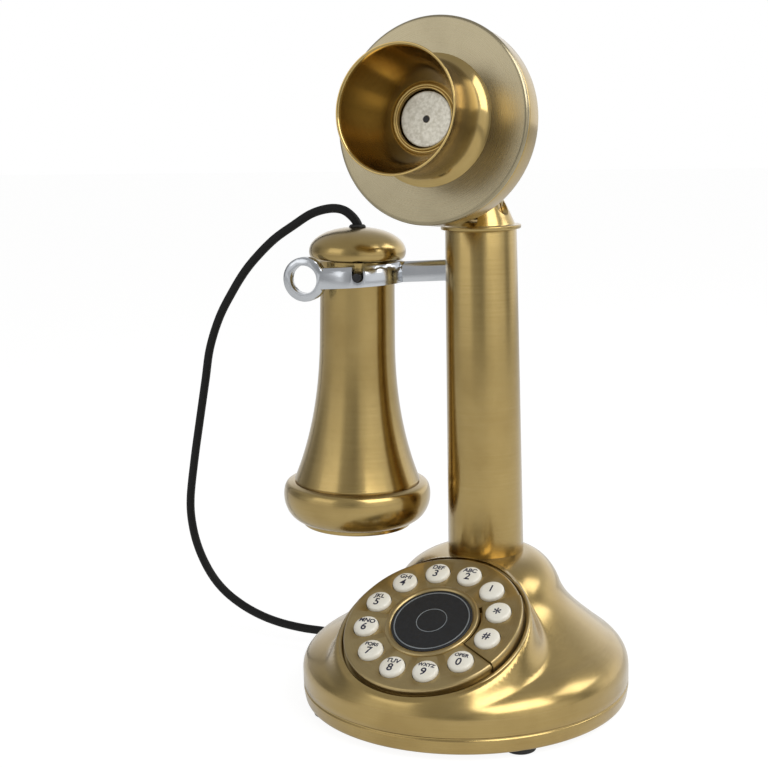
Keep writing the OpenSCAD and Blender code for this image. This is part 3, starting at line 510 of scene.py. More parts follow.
base = {"rim": 74.1, "skirt": 16.5, "seam": 9.5, "wall": 2.4, "top": 62.5, "hole": 17.53, "sides": 384,
        "podRadius": 43, "podDrop": 3.5, "blend": 7, "pocket": 41.9, "grommetOut": 73.5, "grommetTurn": 163,
        "grommetRadius": 4.4, "footCircle": 65, "footRadius": 7, "footHeight": 2.5, "screwRadius": 3,
        "posts": [(57.4, -25), (63.3, 61.7)]}  # each screw post's distance and angle
waist, brim = (37.5, 49.5), (64, 28.5)
bellOutline = ([(base["hole"] - 1, base["top"])]
               + bezier([(base["hole"] + 0.6, base["top"]), (27.5, base["top"]), (34.5, 56.5), waist], 26)
               + bezier([waist, (41.5, 41), (50, 36.5), brim], 30, 1)
               + bezier([brim, (71, 25.3), (base["rim"], 22), (base["rim"], base["skirt"])], 22, 1)
               + [(base["rim"], 13), (base["rim"], 10.6), (73.9, 10.25), (73.4, 10.1)])


def bellShare(radius):
    return (radius - base["hole"]) / (base["rim"] - base["hole"])


def bellShift(radius):
    return -places["baseBack"] * max(bellShare(radius), 0)


def smoothMax(a, b, k):
    h = max(k - abs(a - b), 0) / k
    return max(a, b) + h * h * k / 4


def podHeight(x, y):
    tilt = math.radians(places["dialTilt"])
    v = (y + places["dialForward"]) / math.cos(tilt)
    out = max(math.hypot(x, v) - base["podRadius"], 0)
    return (places["dialHeight"] - base["podDrop"] / math.cos(tilt)
            + (y + places["dialForward"]) * math.tan(tilt) - 3 * out * out / (out + 1.2))


def bellRing(point, inset, drop, sides):
    radius = point[0] - inset * bellShare(point[0])
    ring = []
    for i in range(sides):
        turn = math.tau * i / sides
        x, y = radius * math.cos(turn), bellShift(point[0]) + radius * math.sin(turn)
        height = point[1] - (drop if point[1] > base["seam"] + 1.2 else 0)
        if point[1] > base["skirt"] + 0.1:
            height = smoothMax(point[1], podHeight(x, y), base["blend"]) - drop
        ring.append((x, y, height))
    return ring


def bellShell(name):
    sides = base["sides"]
    rings = [bellRing(p, 0, 0, sides) for p in bellOutline]
    rings += [bellRing(p, base["wall"], base["wall"], sides) for p in reversed(bellOutline)]
    points = [(x * mm, y * mm, z * mm) for ring in rings for x, y, z in ring]
    faces, spots = [], []
    for i in range(len(rings)):
        n = (i + 1) % len(rings)
        for j in range(sides):
            k = (j + 1) % sides
            faces.append((i * sides + j, i * sides + k, n * sides + k, n * sides + j))
            spots += [(i / len(rings), j / sides), (i / len(rings), (j + 1) / sides),
                      ((i + 1) / len(rings), (j + 1) / sides), ((i + 1) / len(rings), j / sides)]
    mesh = bpy.data.meshes.new(name)
    mesh.from_pydata(points, [], faces)
    mesh.uv_layers.new(name="turning").data.foreach_set("uv", [v for spot in spots for v in spot])
    return linked(name, mesh)


def grommetPlace():
    return (onBase @ turned(base["grommetTurn"], "Z") @ moved(base["grommetOut"], 0, base["seam"])
            @ turned(90, "Y"))


def jackWindow():
    return prism("jackWindow", boxOutline(-6.85, 6.85, 30, 60), 4.49, 16.35)


shell = bellShell("baseHousing")
shell = carved(shell, [prism("pocketCut", roundOutline(base["pocket"], 180), -14, 24, onDial),
                       prism("holeCut", roundOutline(base["hole"], 120), 50, 80),
                       jackWindow(), prism("grommetCut", roundOutline(base["grommetRadius"], 48), -12, 12,
                                           grommetPlace())])
smoothed(shell, 40)
seat = turnedPiece("dialSeat", [(37, -8.9), (37, -5.5, 0.2), (41.2, -5.5, 0.2), (41.2, -3.35, 0.35),
                                (41.8, -3.05, 0.5), (42.6, -3.2, 0.5), (43.1, -3.95), (42.4, -5.2),
                                (42.2, -8.9)], onDial, closed=True, steps=192)
collar = turnedPiece("columnCollar", [(2.8, 56.1), (21.5, 56.1), (21.5, 61), (17.6, 61), (17.53, 60.1),
                                      (2.8, 60.1)], closed=True, steps=96)
fitted(shell, brassBase, "base", "satin_brass", "base_housing")
fitted(seat, brassDial, "base", "satin_brass")
fitted(collar, brassBase, "base", "satin_brass")

floor = turnedPiece("basePlate", [(0, 2.5), (71.9, 2.5, 0.4), (73, 3, 0.6), (73.5, 4.1, 1),
                                  (base["rim"], 8.1, 0.5), (base["rim"], 9.1, 0.3), (73.6, 9.5, 0.3),
                                  (73.6, 10.05), (71.1, 10.05), (71.1, 4.5), (0, 4.5)], onBase, steps=256)
screwPoints = [(s * out * math.cos(math.radians(turn)),
                out * math.sin(math.radians(turn)) - places["baseBack"], 0)
               for out, turn in base["posts"] for s in (1, -1)]
cutters = [jackWindow(), prism("grommetCut", roundOutline(base["grommetRadius"], 48), -12, 12,
                               grommetPlace())]
cutters += [prism("headCut", roundOutline(base["screwRadius"] + 0.4, 40, point[:2]), -1, 4.3)
            for point in screwPoints]
floor = smoothed(carved(floor, cutters), 30)
fitted(floor, brassBase, "base", "satin_brass", "base_plate")


def screwHead(name, radius, rise, slot):
    # a low domed head with a cross recess, its top towards +Z
    head = turnedPiece(name, [(0, -rise), (radius * 0.98, -rise, 0.1), (radius, -rise * 0.35, 0.5),
                              (radius * 0.6, 0.0), (0, 0.12)], steps=40)
    cross = [prism("cross", boxOutline(-slot, slot, -slot * 0.22, slot * 0.22), -rise * 0.6, 2),
             prism("cross", boxOutline(-slot * 0.22, slot * 0.22, -slot, slot), -rise * 0.6, 2)]
    return smoothed(carved(head, cross), 30)


head = screwHead("screwHead", base["screwRadius"], 1.8, 1.8)
head.data.transform(turned(180, "X"))
screws = copiesOnPoints("baseScrews", head, [(x, y, 2.95) for x, y, z in screwPoints], finish=steel,
                        turnStep=0.7)
fitted(smoothed(screws, 30, outward=False), steel, "base", "steel", "base_screws")



def footOutline():
    radius, height = base["footRadius"], base["footHeight"]
    return [(0, 0), (radius - 1.2, 0, 0.3), (radius - 0.3, 0.5, 0.3), (radius, height), (0, height)]


foot = turnedPiece("foot", footOutline(), steps=64)
footTurns = [math.radians(45 + 90 * i) for i in range(4)]
footPoints = [(base["footCircle"] * math.cos(turn), base["footCircle"] * math.sin(turn), 0)
              for turn in footTurns]
feet = copiesOnPoints("rubberFeet", foot, footPoints, onBase, rubber)
fitted(smoothed(feet, 30, outward=False), rubber, "base", "black_rubber", "rubber_feet")
fitted(fromNode("cord_grommet", "cordGrommet", 0.25), rubber, "base", "black_rubber", "cord_grommet")
fitted(fromNode("line_jack", "lineJack", 0.25), blackPlastic, "base", "black_plastic", "line_jack")
print("base is made")

# column and hook

tilt = {"pivot": (0, -2, 222.2), "head": 3.9, "bore": 2.5, "lug": 6.4, "lugHalf": 4}
onTilt = moved(*tilt["pivot"]) @ turned(90, "Y")
column = {"low": 60.1, "high": 211.8, "radius": 17.535, "taper": 1.42, "slot": 2.85, "slotLow": 187.5,
          "slotHigh": 201.3}
tubeOutline = [(column["radius"], column["low"]), (column["radius"] - column["taper"], column["high"]),
               (14.6, column["high"]), (16.03, column["low"])]
tube = turnedPiece("columnTube", tubeOutline, closed=True, steps=192)
slotCut = prism("slotCut", boxOutline(0, 30, -column["slot"], column["slot"]), column["slotLow"],
                column["slotHigh"], onHookSide)
tube = smoothed(carved(tube, [slotCut], bevel=0.2), 30)
fitted(tube, brassColumn, "base", "satin_brass", "column_tube")

capOutline = ([(9, 204.8), (14.6, 204.8), (14.55, 211.8), (18.1, 211.8, 0.5), (18.1, 213.6, 0.5),
               (15.5, 213.6, 0.5)]
              + bezier([(14.2, 216.7), (13.6, 218.2), (10.8, 224.2), (10.2, 225)], 12)
              + bezier([(10.2, 225), (8.6, 228.0), (5.4, 230.4), (0, 230.5)], 14, 1) + [(0, 211), (9, 211)])
capPiece = turnedPiece("columnCap", capOutline, closed=True, steps=160)
capCuts = [prism("lugSlot", boxOutline(-4.35, 4.35, -30, 30), 215.45, 240),
           prism("screwBore", roundOutline(tilt["bore"], 40), -30, 30, onTilt)]
capCuts += [prism("headBore", roundOutline(tilt["head"] + 0.15, 56), 8.55, 30, onTilt @ turned(180 * k, "X"))
            for k in (0, 1)]
capPiece = smoothed(carved(capPiece, capCuts, bevel=0.35, segments=3), 32)
fitted(capPiece, brassColumn, "base", "satin_brass", "column_cap")
screwPieces = []
for k in (0, 1):
    screwPiece = turnedPiece("tiltScrew", [(0, 0), (2.45, 0), (2.45, 8.5), (tilt["head"], 8.55, 0.1),
                                           (tilt["head"], 10.6, 0.5), (0, 10.75)],
                             onTilt @ turned(180 * k, "X"), steps=72)
    slotted = prism("screwSlot", boxOutline(-5, 5, -0.5, 0.5), 9.7, 12,
                    onTilt @ turned(180 * k, "X") @ turned(35, "Z"))
    screwPieces.append(smoothed(carved(screwPiece, [slotted], bevel=0.12), 30))
fitted(joinedPieces("tiltScrew", screwPieces), brassColumn, "base", "satin_brass", "tilt_screw")
fitted(fromNode("hook_lever", "hookLever", 0.32, 3), chrome, "hook", "chrome", "hook_lever")
print("column and hook are made")

# dial

dial = {"radius": 40, "skirt": 5.5, "keyCircle": 29.7, "firstKey": 47.2, "keyHole": 5.9, "keyRadius": 5.6,
        "keyFlange": 6.7, "keyDepth": 4.2, "sector": (-27.8, 32.2), "sectorGap": 0.45, "rise": 1.2,
        "ring": (18.4, 21), "badge": 18.2, "circles": ((16.5, 0.5), (6.6, 0.34))}
keyNames = ["1", "2", "3", "4", "5", "6", "7", "8", "9", "0", "hash", "star"]
keyLetters = ["", "ABC", "DEF", "GHI", "JKL", "MNO", "PQRS", "TUV", "WXYZ", "OPER", "", ""]


def keySpot(i):
    turn = math.radians(dial["firstKey"] + 30 * i)
    return dial["keyCircle"] * math.cos(turn), dial["keyCircle"] * math.sin(turn)


def wedgeOutline(gap, inner, outer):
    first, last = math.radians(dial["sector"][0] - gap), math.radians(dial["sector"][1] + gap)
    turns = [first + (last - first) * i / 16 for i in range(17)]
    return ([(outer * math.cos(t), outer * math.sin(t)) for t in turns]
            + [(inner * math.cos(t), inner * math.sin(t)) for t in reversed(turns)])


def plateOutline():
    radius, skirt = dial["radius"], dial["skirt"]
    return [(9, -3.2), (radius - 3, -3.2), (radius - 3, -skirt), (radius - 1.4, -skirt), (radius - 1.4, -3.2),
            (radius - 0.6, -3.2), (radius, -2.6, 0.2), (radius, -0.7, 0.5), (radius - 0.7, 0, 0.5), (9, 0)]


def sectorOutline():
    radius, rise = dial["radius"] + 0.3, dial["rise"]
    return [(22.6, -2.9), (radius - 1.4, -2.9), (radius - 1.4, -4.6), (radius - 0.3, -4.6), (radius, -4.1),
            (radius, rise - 0.5, 0.4), (radius - 0.5, rise, 0.4), (22.9, rise), (22.6, rise - 0.3)]


def ringOutline():
    inner, outer = dial["ring"]
    return [(inner, 0), (outer, 0), (outer, 0.5, 0.4), (outer - 0.6, 1.0, 0.5), (inner + 0.7, 1.0, 0.4),
            (inner, 0.45, 0.2)]


plate = turnedPiece("dialPlate", plateOutline(), onDial, closed=True, steps=224)
cutters = [prism("keyCut", roundOutline(dial["keyHole"], 64, keySpot(i)), -4.5, 3, onDial)
           for i in range(10)]
cutters.append(prism("wedgeCut", wedgeOutline(dial["sectorGap"], 21.2, 60), -3.19, 4, onDial))
plate = smoothed(carved(plate, cutters, bevel=0.22), 30)
fitted(plate, brassDial, "base", "satin_brass", "dial_plate")
sector = turnedPiece("dialSector", sectorOutline(), onDial, closed=True, steps=224)
sector = carved(sector, [prism("wedge", wedgeOutline(0, 5, 60), -10, 10, onDial)], "INTERSECT")
sector = carved(sector, [prism("keyCut", roundOutline(dial["keyHole"], 64, keySpot(i)), -9, 4, onDial)
                         for i in (10, 11)], bevel=0.3, segments=3)
fitted(smoothed(sector, 30), brassDial, "base", "satin_brass", "dial_sector")
ringPiece = turnedPiece("dialRing", ringOutline(), onDial, closed=True, steps=192)
fitted(ringPiece, brassDial, "base", "satin_brass", "dial_ring")
badge = turnedPiece("dialBadge", [(0, 0), (dial["badge"], 0), (dial["badge"], 0.45, 0.2),
                                  (dial["badge"] - 0.4, 0.6, 0.2), (0, 0.6)], onDial, steps=160)
fitted(badge, badgeBlack, "base", "badge_black", "dial_badge")
rings = [turnedPiece("badgeRing", [(r, 0.56), (r + w, 0.56), (r + w, 0.68, 0.05), (r, 0.68, 0.05)], onDial,
                     closed=True, steps=160) for r, w in dial["circles"]]
fitted(joinedPieces("badgeRings", rings), badgeSilver, "base", "badge_black")

crownOutline = [(0, 2.0), (1.4, 1.99), (2.8, 1.94), (3.8, 1.85), (4.5, 1.68), (5.05, 1.42), (5.4, 1.1),
                (5.6, 0.6)]


def crownHeight(radius):
    for (r0, z0), (r1, z1) in zip(crownOutline, crownOutline[1:]):
        if radius <= r1:
            return z0 + (z1 - z0) * (radius - r0) / (r1 - r0)
    return crownOutline[-1][1]


printed = {"swell": 0.1, "lift": 0.05, "edge": 0.45, "digit": 5.4, "star": 8.0, "letters": 3.3,
           "longLetters": 2.6}


def legend(name, words, place):
    # flat printed characters laid on the button's crown: (text, size, y)
    shape = bmesh.new()
    for text, size, y in words:
        data = bpy.data.curves.new("print", "FONT")
        data.body, data.size = text, size * mm
        data.align_x, data.align_y = "CENTER", "CENTER"
        data.offset = printed["swell"] * mm
        thing = bpy.data.objects.new("print", data)
        scene.collection.objects.link(thing)
        thing = settled(thing)
        thing.data.transform(moved(0, y, 0))
        shape.from_mesh(thing.data)
        bpy.data.objects.remove(thing)
    for cuts in (2, 1):
        # short edges let the print follow the curve
        bmesh.ops.triangulate(shape, faces=shape.faces)
        longEdges = [edge for edge in shape.edges if edge.calc_length() > printed["edge"] * mm]
        bmesh.ops.subdivide_edges(shape, edges=longEdges, cuts=cuts)
    bmesh.ops.triangulate(shape, faces=shape.faces)
    for vert in shape.verts:
        vert.co.z = (crownHeight(math.hypot(vert.co.x, vert.co.y) / mm) + printed["lift"]) * mm
    mesh = bpy.data.meshes.new(name)
    shape.to_mesh(mesh)
    shape.free()
    mesh.transform(place)
    return linked(name, mesh)


def keyWords(symbol, letters):
    if letters:
        size = printed["letters"] if len(letters) < 4 else printed["longLetters"]
        return [(letters, size, 2.2), (symbol, printed["digit"], -1.6)]
    if symbol == "*":
        return [(symbol, printed["star"], -2.0)]
    return [(symbol, printed["digit"], 0.1)]


for i, key in enumerate(keyNames):
    rise = dial["rise"] if key in ("hash", "star") else 0
    x, y = keySpot(i)
    place = onDial @ moved(x, y, rise)
    low, flange = -dial["keyDepth"] - rise, dial["keyFlange"]
    outline = [(0, low), (flange, low, 0.2), (flange, low + 0.9, 0.2), (dial["keyRadius"], low + 0.9)]
    button = turnedPiece("button" + key.capitalize(), outline + list(reversed(crownOutline)), place,
                         steps=64)
    fitted(button, ivory, "key_" + key, "ivory_plastic", "key_" + key)
    symbol = {"hash": "#", "star": "*"}.get(key, key)
    words = keyWords(symbol, keyLetters[i])
    fitted(legend("legend" + key.capitalize(), words, place), ink, "key_" + key, "ivory_plastic")
print("dial is made")

# transmitter

transmitter = {"faceRadius": 43.6, "faceThick": 2.6, "cupRadius": 43.1, "cupDepth": 24.5, "cupWall": 2.4,
               "hornFoot": 27.8, "hornNeck": 22.1, "hornMouth": 26.4, "hornLength": 32.8, "hornBore": 12.05,
               "capsuleRadius": 11.8}


def faceOutline():
    radius, thick = transmitter["faceRadius"], transmitter["faceThick"]
    return [(15, -thick), (radius - 0.7, -thick), (radius, 0.7 - thick, 0.5), (radius, -0.9, 0.4),
            (radius - 0.7, -0.1, 0.5), (radius - 1.5, 0, 0.3), (15, 0)]


def cupOutline():
    # a lip behind the face, the round back and the same curve again inside
    radius, low, thick = transmitter["cupRadius"], -transmitter["cupDepth"], transmitter["faceThick"]
    back = bezier([(radius, -12.5), (radius - 1, -19.5), (28, low + 1.5), (15, low)], 24)
    return ([(radius - 2.5, -thick), (radius - 0.8, -thick), (radius - 0.8, -3.4, 0.2), (radius, -3.8, 0.4)]
            + back + [(0, low), (0, low + 2.2), (14.2, low + 2.2)]
            + [(r - transmitter["cupWall"], z + 1.6) for r, z in reversed(back)])


def hornOutline():
    # up the outside, over the lip, down the inside and round the throat ring
    foot, neck, mouth = transmitter["hornFoot"], transmitter["hornNeck"], transmitter["hornMouth"]
    top, bore = transmitter["hornLength"], transmitter["hornBore"]
    return ([(14.98, -3.6), (14.98, 0), (foot, 0, 0.2)]
            + bezier([(foot, 0.4), (foot - 4.4, 2), (neck - 0.5, 8), (neck, 17)], 22)
            + bezier([(neck, 17), (neck + 0.5, 24), (mouth - 2, 29), (mouth, top - 0.8)], 18, 1)
            + [(mouth + 0.2, top - 0.35), (mouth, top - 0.05), (mouth - 0.3, top), (mouth - 0.7, top - 0.1)]
            + bezier([(mouth - 1.1, top - 0.5), (neck - 0.3, 19.5), (16.6, 11.6), (14.4, 5.9)], 30)
            + [(bore + 2.1, 5.1, 0.3), (bore + 1.45, 5.0, 0.2), (bore + 1.15, 5.7, 0.3),
               (bore + 0.45, 5.9, 0.3), (bore + 0.05, 5.4, 0.2), (bore, -3.6)])


def capsuleOutline():
    radius = transmitter["capsuleRadius"]
    return [(0, 2.4), (radius, 2.4), (radius, 3.2, 0.2), (radius - 0.45, 3.6, 0.3),
            (radius - 0.9, 3.45, 0.3), (1.5, 3.5, 0.3), (0.85, 2.9, 0.1), (0, 2.9)]


face = turnedPiece("transmitterFace", faceOutline(), onFace, closed=True, steps=256)
fitted(face, brassPlate, "transmitter", "satin_brass", "transmitter_face")
cup = turnedPiece("transmitterCup", cupOutline(), onFace, closed=True, steps=224)
pivotSpot = onFace.inverted() @ onTilt.translation
tiltY, tiltZ = pivotSpot.y / mm, pivotSpot.z / mm
lugTurns = [math.radians(a) for a in range(127, 337, 10)]
lugShape = [(tiltY + tilt["lug"] * math.cos(turn), tiltZ + tilt["lug"] * math.sin(turn))
            for turn in lugTurns]
lugShape += [(tiltY + 5.76, tiltZ - 2.56), (-6, -25.5), (-6, -22.5), (-27, -21.1)]
lug = prism("lug", lugShape, -tilt["lugHalf"], tilt["lugHalf"], onFace @ turned(90, "Z") @ turned(90, "X"))
step = lug.modifiers.new("Bevel", "BEVEL")
step.width, step.segments, step.limit_method = 0.8 * mm, 3, "ANGLE"
cup = smoothed(joinedPieces("transmitterCup", [cup, smoothed(settled(lug), 32)]), 32, outward=False)
fitted(cup, brassFace, "transmitter", "satin_brass", "transmitter_cup")
fitted(turnedPiece("mouthpiece", hornOutline(), onFace, closed=True, steps=224), brassHorn, "transmitter",
       "satin_brass", "mouthpiece")
capsule = turnedPiece("microphoneCover", capsuleOutline(), onFace, steps=128)
fitted(capsule, capsuleMetal, "transmitter", "bright_aluminium", "microphone_cover")
# a thin black disc in the cover's central dimple stands for the hole: painted shade, together with the black
# microphone's own colour behind it
fitted(turnedPiece("microphoneHole", [(0, 2.92), (0.9, 2.92), (0.9, 2.98), (0, 2.98)], onFace, steps=32),
       blackPlastic, "transmitter", "black_plastic")
print("transmitter is made")

# receiver

receiver = {"neck": 17.4, "mouth": 29.8, "length": 99.5, "wall": 2, "capRadius": 22.7, "capTop": 20,
            "ringRadius": 35.4}


def shellOutline():
    neck, low = receiver["neck"], -receiver["length"]
    flare = bezier([(neck + 0.3, -33), (neck + 0.6, -58), (22, low + 19.5), (receiver["mouth"], low)], 36)
    return ([(neck - receiver["wall"], 2.5), (neck, 2.5), (neck, -10)] + flare
            + [(r - receiver["wall"], z) for r, z in reversed(flare)])


def receiverCapOutline():
    neck, radius, top = receiver["neck"], receiver["capRadius"], receiver["capTop"]
    plug, corner = neck - receiver["wall"] - 0.02, (radius - 1, 12.2)
    return ([(0, -2.5), (plug, -2.5), (plug, 2.5), (neck + 0.85, 2.5, 0.2), (neck + 0.85, 5.2, 0.2),
             (radius - 2.2, 5.4, 0.3)]
            + bezier([(radius - 1.2, 6), (radius, 7), (radius + 0.2, 9.6), corner], 10)
            + bezier([corner, (radius - 4, 17), (11.7, top - 0.6), (3.9, top)], 18, 1)
            + [(3.3, top - 0.2), (3.3, 14), (0, 14)])


def earOutline():
    # from the groove under the shell round the bulge to the lip
    mouth, radius, low = receiver["mouth"], receiver["ringRadius"], -receiver["length"]
    bulge = (radius - 1.6, low - 13.5)
    return ([(26, low), (mouth - 0.6, low), (mouth - 0.6, low - 0.85), (mouth + 0.8, low - 0.9, 0.25)]
            + bezier([(radius - 2.8, low - 1.4), (radius, low - 2), (radius + 0.4, low - 9.5), bulge], 18)
            + bezier([bulge, (radius - 3, low - 17), (radius - 6, low - 19.5), (26.2, low - 19.9)], 14, 1)
            + [(25.9, low - 20.2), (25.9, low - 21.7, 0.3), (25.2, low - 22, 0.3), (24, low - 22, 0.2),
               (24, low - 19.7), (26, low - 19.7)])


shellPiece = turnedPiece("receiverShell", shellOutline(), onReceiver, closed=True, steps=192)
fitted(shellPiece, brassReceiver, "receiver", "satin_brass", "receiver_shell")
fitted(turnedPiece("receiverCap", receiverCapOutline(), onReceiver, steps=192), brassReceiver, "receiver",
       "satin_brass", "receiver_cap")
fitted(turnedPiece("earRing", earOutline(), onReceiver, closed=True, steps=192), brassReceiver, "receiver",
       "satin_brass", "ear_ring")
fitted(fromNode("ear_disc", "earDisc", 0.12), blackPlastic, "receiver", "black_plastic", "ear_disc")
fitted(fromNode("receiver_pegs", "receiverPegs", 0.3), blackPlastic, "receiver", "black_plastic",
       "receiver_pegs")
fitted(turnedPiece("cordSleeve", [(2.1, 17), (3.28, 17), (3.28, 20), (3.9, 20.05, 0.2), (3.9, 20.6, 0.3),
                                  (3.2, 21.3, 0.3), (2.1, 21.3)], onReceiver, closed=True, steps=64), rubber,
       "receiver", "black_rubber", "cord_sleeve")
print("receiver is made")

# cord


def receiverPoint(height):
    return tuple(v / mm for v in (onReceiver @ Vector((0, 0, height * mm))))


def grommetPoint(out):
    turn = math.radians(base["grommetTurn"])
    reach = base["grommetOut"] + out
    return reach * math.cos(turn), reach * math.sin(turn) - places["baseBack"], base["seam"]


cord = {"diameter": 4.2, "sides": 16, "steps": 8, "points": [receiverPoint(h) for h in (17, 19.25, 21.5)]
        + [(-61.5, -8.2, 217.5), (-66.5, -8, 220.5), (-74, -7.5, 221), (-84, -7, 218.5), (-94, -7, 213),
           (-105, -6.5, 206.5), (-115, -6, 198.5), (-123, -6, 190.5), (-131, -5.5, 180.5), (-140, -5, 167),
           (-147, -4.5, 151), (-151, -4, 134.5), (-156, -3.5, 113.5), (-161, -3, 92), (-165, -2.5, 71),
           (-165, -2, 57), (-162, -1.5, 44), (-156, -1, 32), (-148, -1, 23.5), (-138, -0.5, 17),
           (-127, 0, 12.5), (-115, 0, 10), (-102, 0.5, 8.8), (-90, 0.8, 8.8)]
        + [grommetPoint(h) for h in (9, 5.5, 2)]}


def smoothRoute(points, steps):
    route = []
    for i in range(len(points) - 1):
        a, b, c, d = (Vector(points[min(max(k, 0), len(points) - 1)]) for k in (i - 1, i, i + 1, i + 2))
        for k in range(steps):
            t = k / steps
            route.append(0.5 * (2 * b + t * (c - a) + t * t * (2 * a - 5 * b + 4 * c - d)
                                + t ** 3 * (3 * b - a - 3 * c + d)) * mm)
    return route + [Vector(points[-1]) * mm]


def sweptTube(name, route, radius, sides):
    side = Vector((0, 1, 0))
    rings = []
    for i, point in enumerate(route):
        ahead = (route[min(i + 1, len(route) - 1)] - route[max(i - 1, 0)]).normalized()
        side = (side - ahead * side.dot(ahead)).normalized()
        other = ahead.cross(side)
        turns = [math.tau * j / sides for j in range(sides)]
        rings.append([point + (side * math.cos(t) + other * math.sin(t)) * radius for t in turns])
    points = [p for ring in rings for p in ring]
    faces = [(i * sides + j, i * sides + (j + 1) % sides, (i + 1) * sides + (j + 1) % sides,
              (i + 1) * sides + j)
             for i in range(len(rings) - 1) for j in range(sides)]
    faces += [tuple(reversed(range(sides))), tuple(range(len(points) - sides, len(points)))]
    mesh = bpy.data.meshes.new(name)
    mesh.from_pydata(points, [], faces)
    return smoothed(linked(name, mesh), 50)


route = smoothRoute(cord["points"], cord["steps"])
cordPiece = sweptTube("receiverCord", route, cord["diameter"] / 2 * mm, cord["sides"])
cordPiece.data.materials.append(cordBlack)
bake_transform(cordPiece)
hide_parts("receiver_cord")

# the hidden works keep their CAD shapes

works = {"ballast_weight": steel, "main_board": greenBoard, "ringer": blackPlastic, "column_plug": steel,
         "column_bolt": steel, "hook_carrier": blackPlastic, "hook_pin": steel, "hook_spring": steel,
         "hook_switch": blackPlastic, "keypad_mat": siliconeMat, "keypad_board": greenBoard,
         "dial_screws": steel, "microphone": blackPlastic, "speaker": steel}
for node, finish in works.items():
    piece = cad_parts[node]
    piece.data.materials.clear()
    piece.data.materials.append(finish)

# studio

studio = {"floor": "#F4F4F2", "floorGlow": 1.15, "floorSeen": 0.8, "floorInMetal": 0.3, "fill": 0.32,
          "overhead": 0.5, "rising": (0.3, 0.62)}
studio["lamps"] = [  # name, place, aim, size, power
    ("leftBox", (-0.55, -0.95, 0.75), (0, 0, 0.2), (0.75, 0.55), 1.0),
    ("keyBox", (0.77, -0.36, 0.97), (0, -0.03, 0.05), (0.9, 0.8), 8.0),
    ("rimBox", (0.78, 0.59, 0.95), (0, 0, 0.15), (0.5, 0.5), 2.4)]
# brightness that metal sees round the room, by bearing from the front: backdrop, side panels and gaps
studio["panels"] = [(-180, 1.1), (-148, 1.0), (-122, 0.5), (-82, 0.26), (-64, 0.5), (-45, 0.88), (-18, 0.92),
                    (2, 0.45), (24, 0.34), (42, 0.82), (62, 1.02), (94, 0.95), (114, 0.36), (138, 1.2),
                    (180, 1.1)]


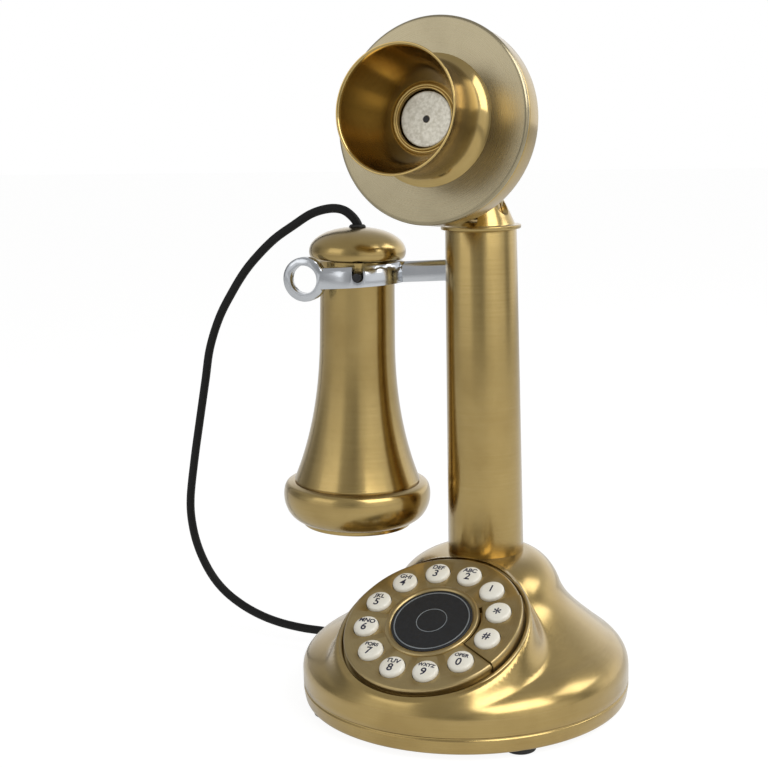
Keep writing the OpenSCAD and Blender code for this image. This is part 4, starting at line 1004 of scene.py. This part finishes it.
def makeWorld():
    world = bpy.data.worlds.new("studioWorld")
    scene.world = world
    world.use_nodes = True
    tree = world.node_tree
    tree.nodes.clear()
    path = addNode(tree, "ShaderNodeLightPath")
    heading = addNode(tree, "ShaderNodeSeparateXYZ",
                      {0: addNode(tree, "ShaderNodeTexCoord").outputs["Generated"]})
    ahead = addNode(tree, "ShaderNodeMath", {0: heading.outputs["Y"], 1: -1.0},
                    operation="MULTIPLY").outputs[0]
    bearing = addNode(tree, "ShaderNodeMath", {0: heading.outputs["X"], 1: ahead},
                      operation="ARCTAN2").outputs[0]
    share = addNode(tree, "ShaderNodeMapRange", {"Value": bearing, "From Min": -math.pi, "From Max": math.pi})
    ramp = addNode(tree, "ShaderNodeValToRGB", {0: share.outputs[0]})
    stops = studio["panels"]
    while len(ramp.color_ramp.elements) < len(stops):
        ramp.color_ramp.elements.new(0.5)
    for element, (turn, value) in zip(ramp.color_ramp.elements, stops):
        element.position = (turn + 180) / 360
        element.color = (value / 2, value / 2, value / 2, 1)
    ramp.color_ramp.interpolation = "EASE"
    panels = addNode(tree, "ShaderNodeMath", {0: ramp.outputs[0], 1: 2.0}, operation="MULTIPLY").outputs[0]
    low, high = studio["rising"]
    rising = addNode(tree, "ShaderNodeMapRange", {"Value": heading.outputs["Z"], "From Min": low,
                     "From Max": high}).outputs[0]
    seenByMetal = addNode(tree, "ShaderNodeMix", {"Factor": rising, "A": panels, "B": studio["overhead"]},
                          data_type="FLOAT").outputs[0]
    lit = addNode(tree, "ShaderNodeMix", {"Factor": path.outputs["Is Glossy Ray"], "A": studio["fill"],
                  "B": seenByMetal}, data_type="FLOAT").outputs[0]
    seen = addNode(tree, "ShaderNodeMath",
                   {0: path.outputs["Is Camera Ray"], 1: path.outputs["Is Transmission Ray"]},
                   operation="MAXIMUM").outputs[0]
    strength = addNode(tree, "ShaderNodeMix", {"Factor": seen, "A": lit, "B": 1.0},
                       data_type="FLOAT").outputs[0]
    sky = addNode(tree, "ShaderNodeBackground", {"Color": (1, 1, 1, 1), "Strength": strength})
    addNode(tree, "ShaderNodeOutputWorld", {"Surface": sky.outputs[0]})


def makeStudio():
    scene.view_settings.view_transform = "Standard"
    makeWorld()
    for name, spot, aim, size, power in studio["lamps"]:
        data = bpy.data.lights.new(name, "AREA")
        data.shape, data.size, data.size_y, data.energy = "RECTANGLE", size[0], size[1], power
        lamp = bpy.data.objects.new(name, data)
        lamp.location = spot
        lamp.rotation_euler = (Vector(aim) - Vector(spot)).to_track_quat("-Z", "Y").to_euler()
        scene.collection.objects.link(lamp)
    mesh = bpy.data.meshes.new("studioFloor")
    mesh.from_pydata([(-6, -6, -0.0002), (6, -6, -0.0002), (6, 6, -0.0002), (-6, 6, -0.0002)], [],
                     [(0, 1, 2, 3)])
    ground = linked("studioFloor", mesh)
    finish, tree, shader = newFinish("paleStudioPaper")
    shader.inputs["Base Color"].default_value = linear(studio["floor"])
    shader.inputs["Roughness"].default_value = 0.7
    path = addNode(tree, "ShaderNodeLightPath")
    glow = addNode(tree, "ShaderNodeEmission", {"Color": (1, 1, 1, 1), "Strength": studio["floorGlow"]})
    metal = addNode(tree, "ShaderNodeMath", {0: path.outputs["Is Glossy Ray"], 1: studio["floorInMetal"]},
                    operation="MULTIPLY").outputs[0]
    share = addNode(tree, "ShaderNodeMath",
                    {0: path.outputs["Is Camera Ray"], 1: studio["floorSeen"], 2: metal},
                    operation="MULTIPLY_ADD").outputs[0]
    both = addNode(tree, "ShaderNodeMixShader", {0: share, 1: shader.outputs[0], 2: glow.outputs[0]})
    output = next(node for node in tree.nodes if node.type == "OUTPUT_MATERIAL")
    tree.links.new(both.outputs[0], output.inputs["Surface"])
    mesh.materials.append(finish)


makeStudio()
print("studio is set")
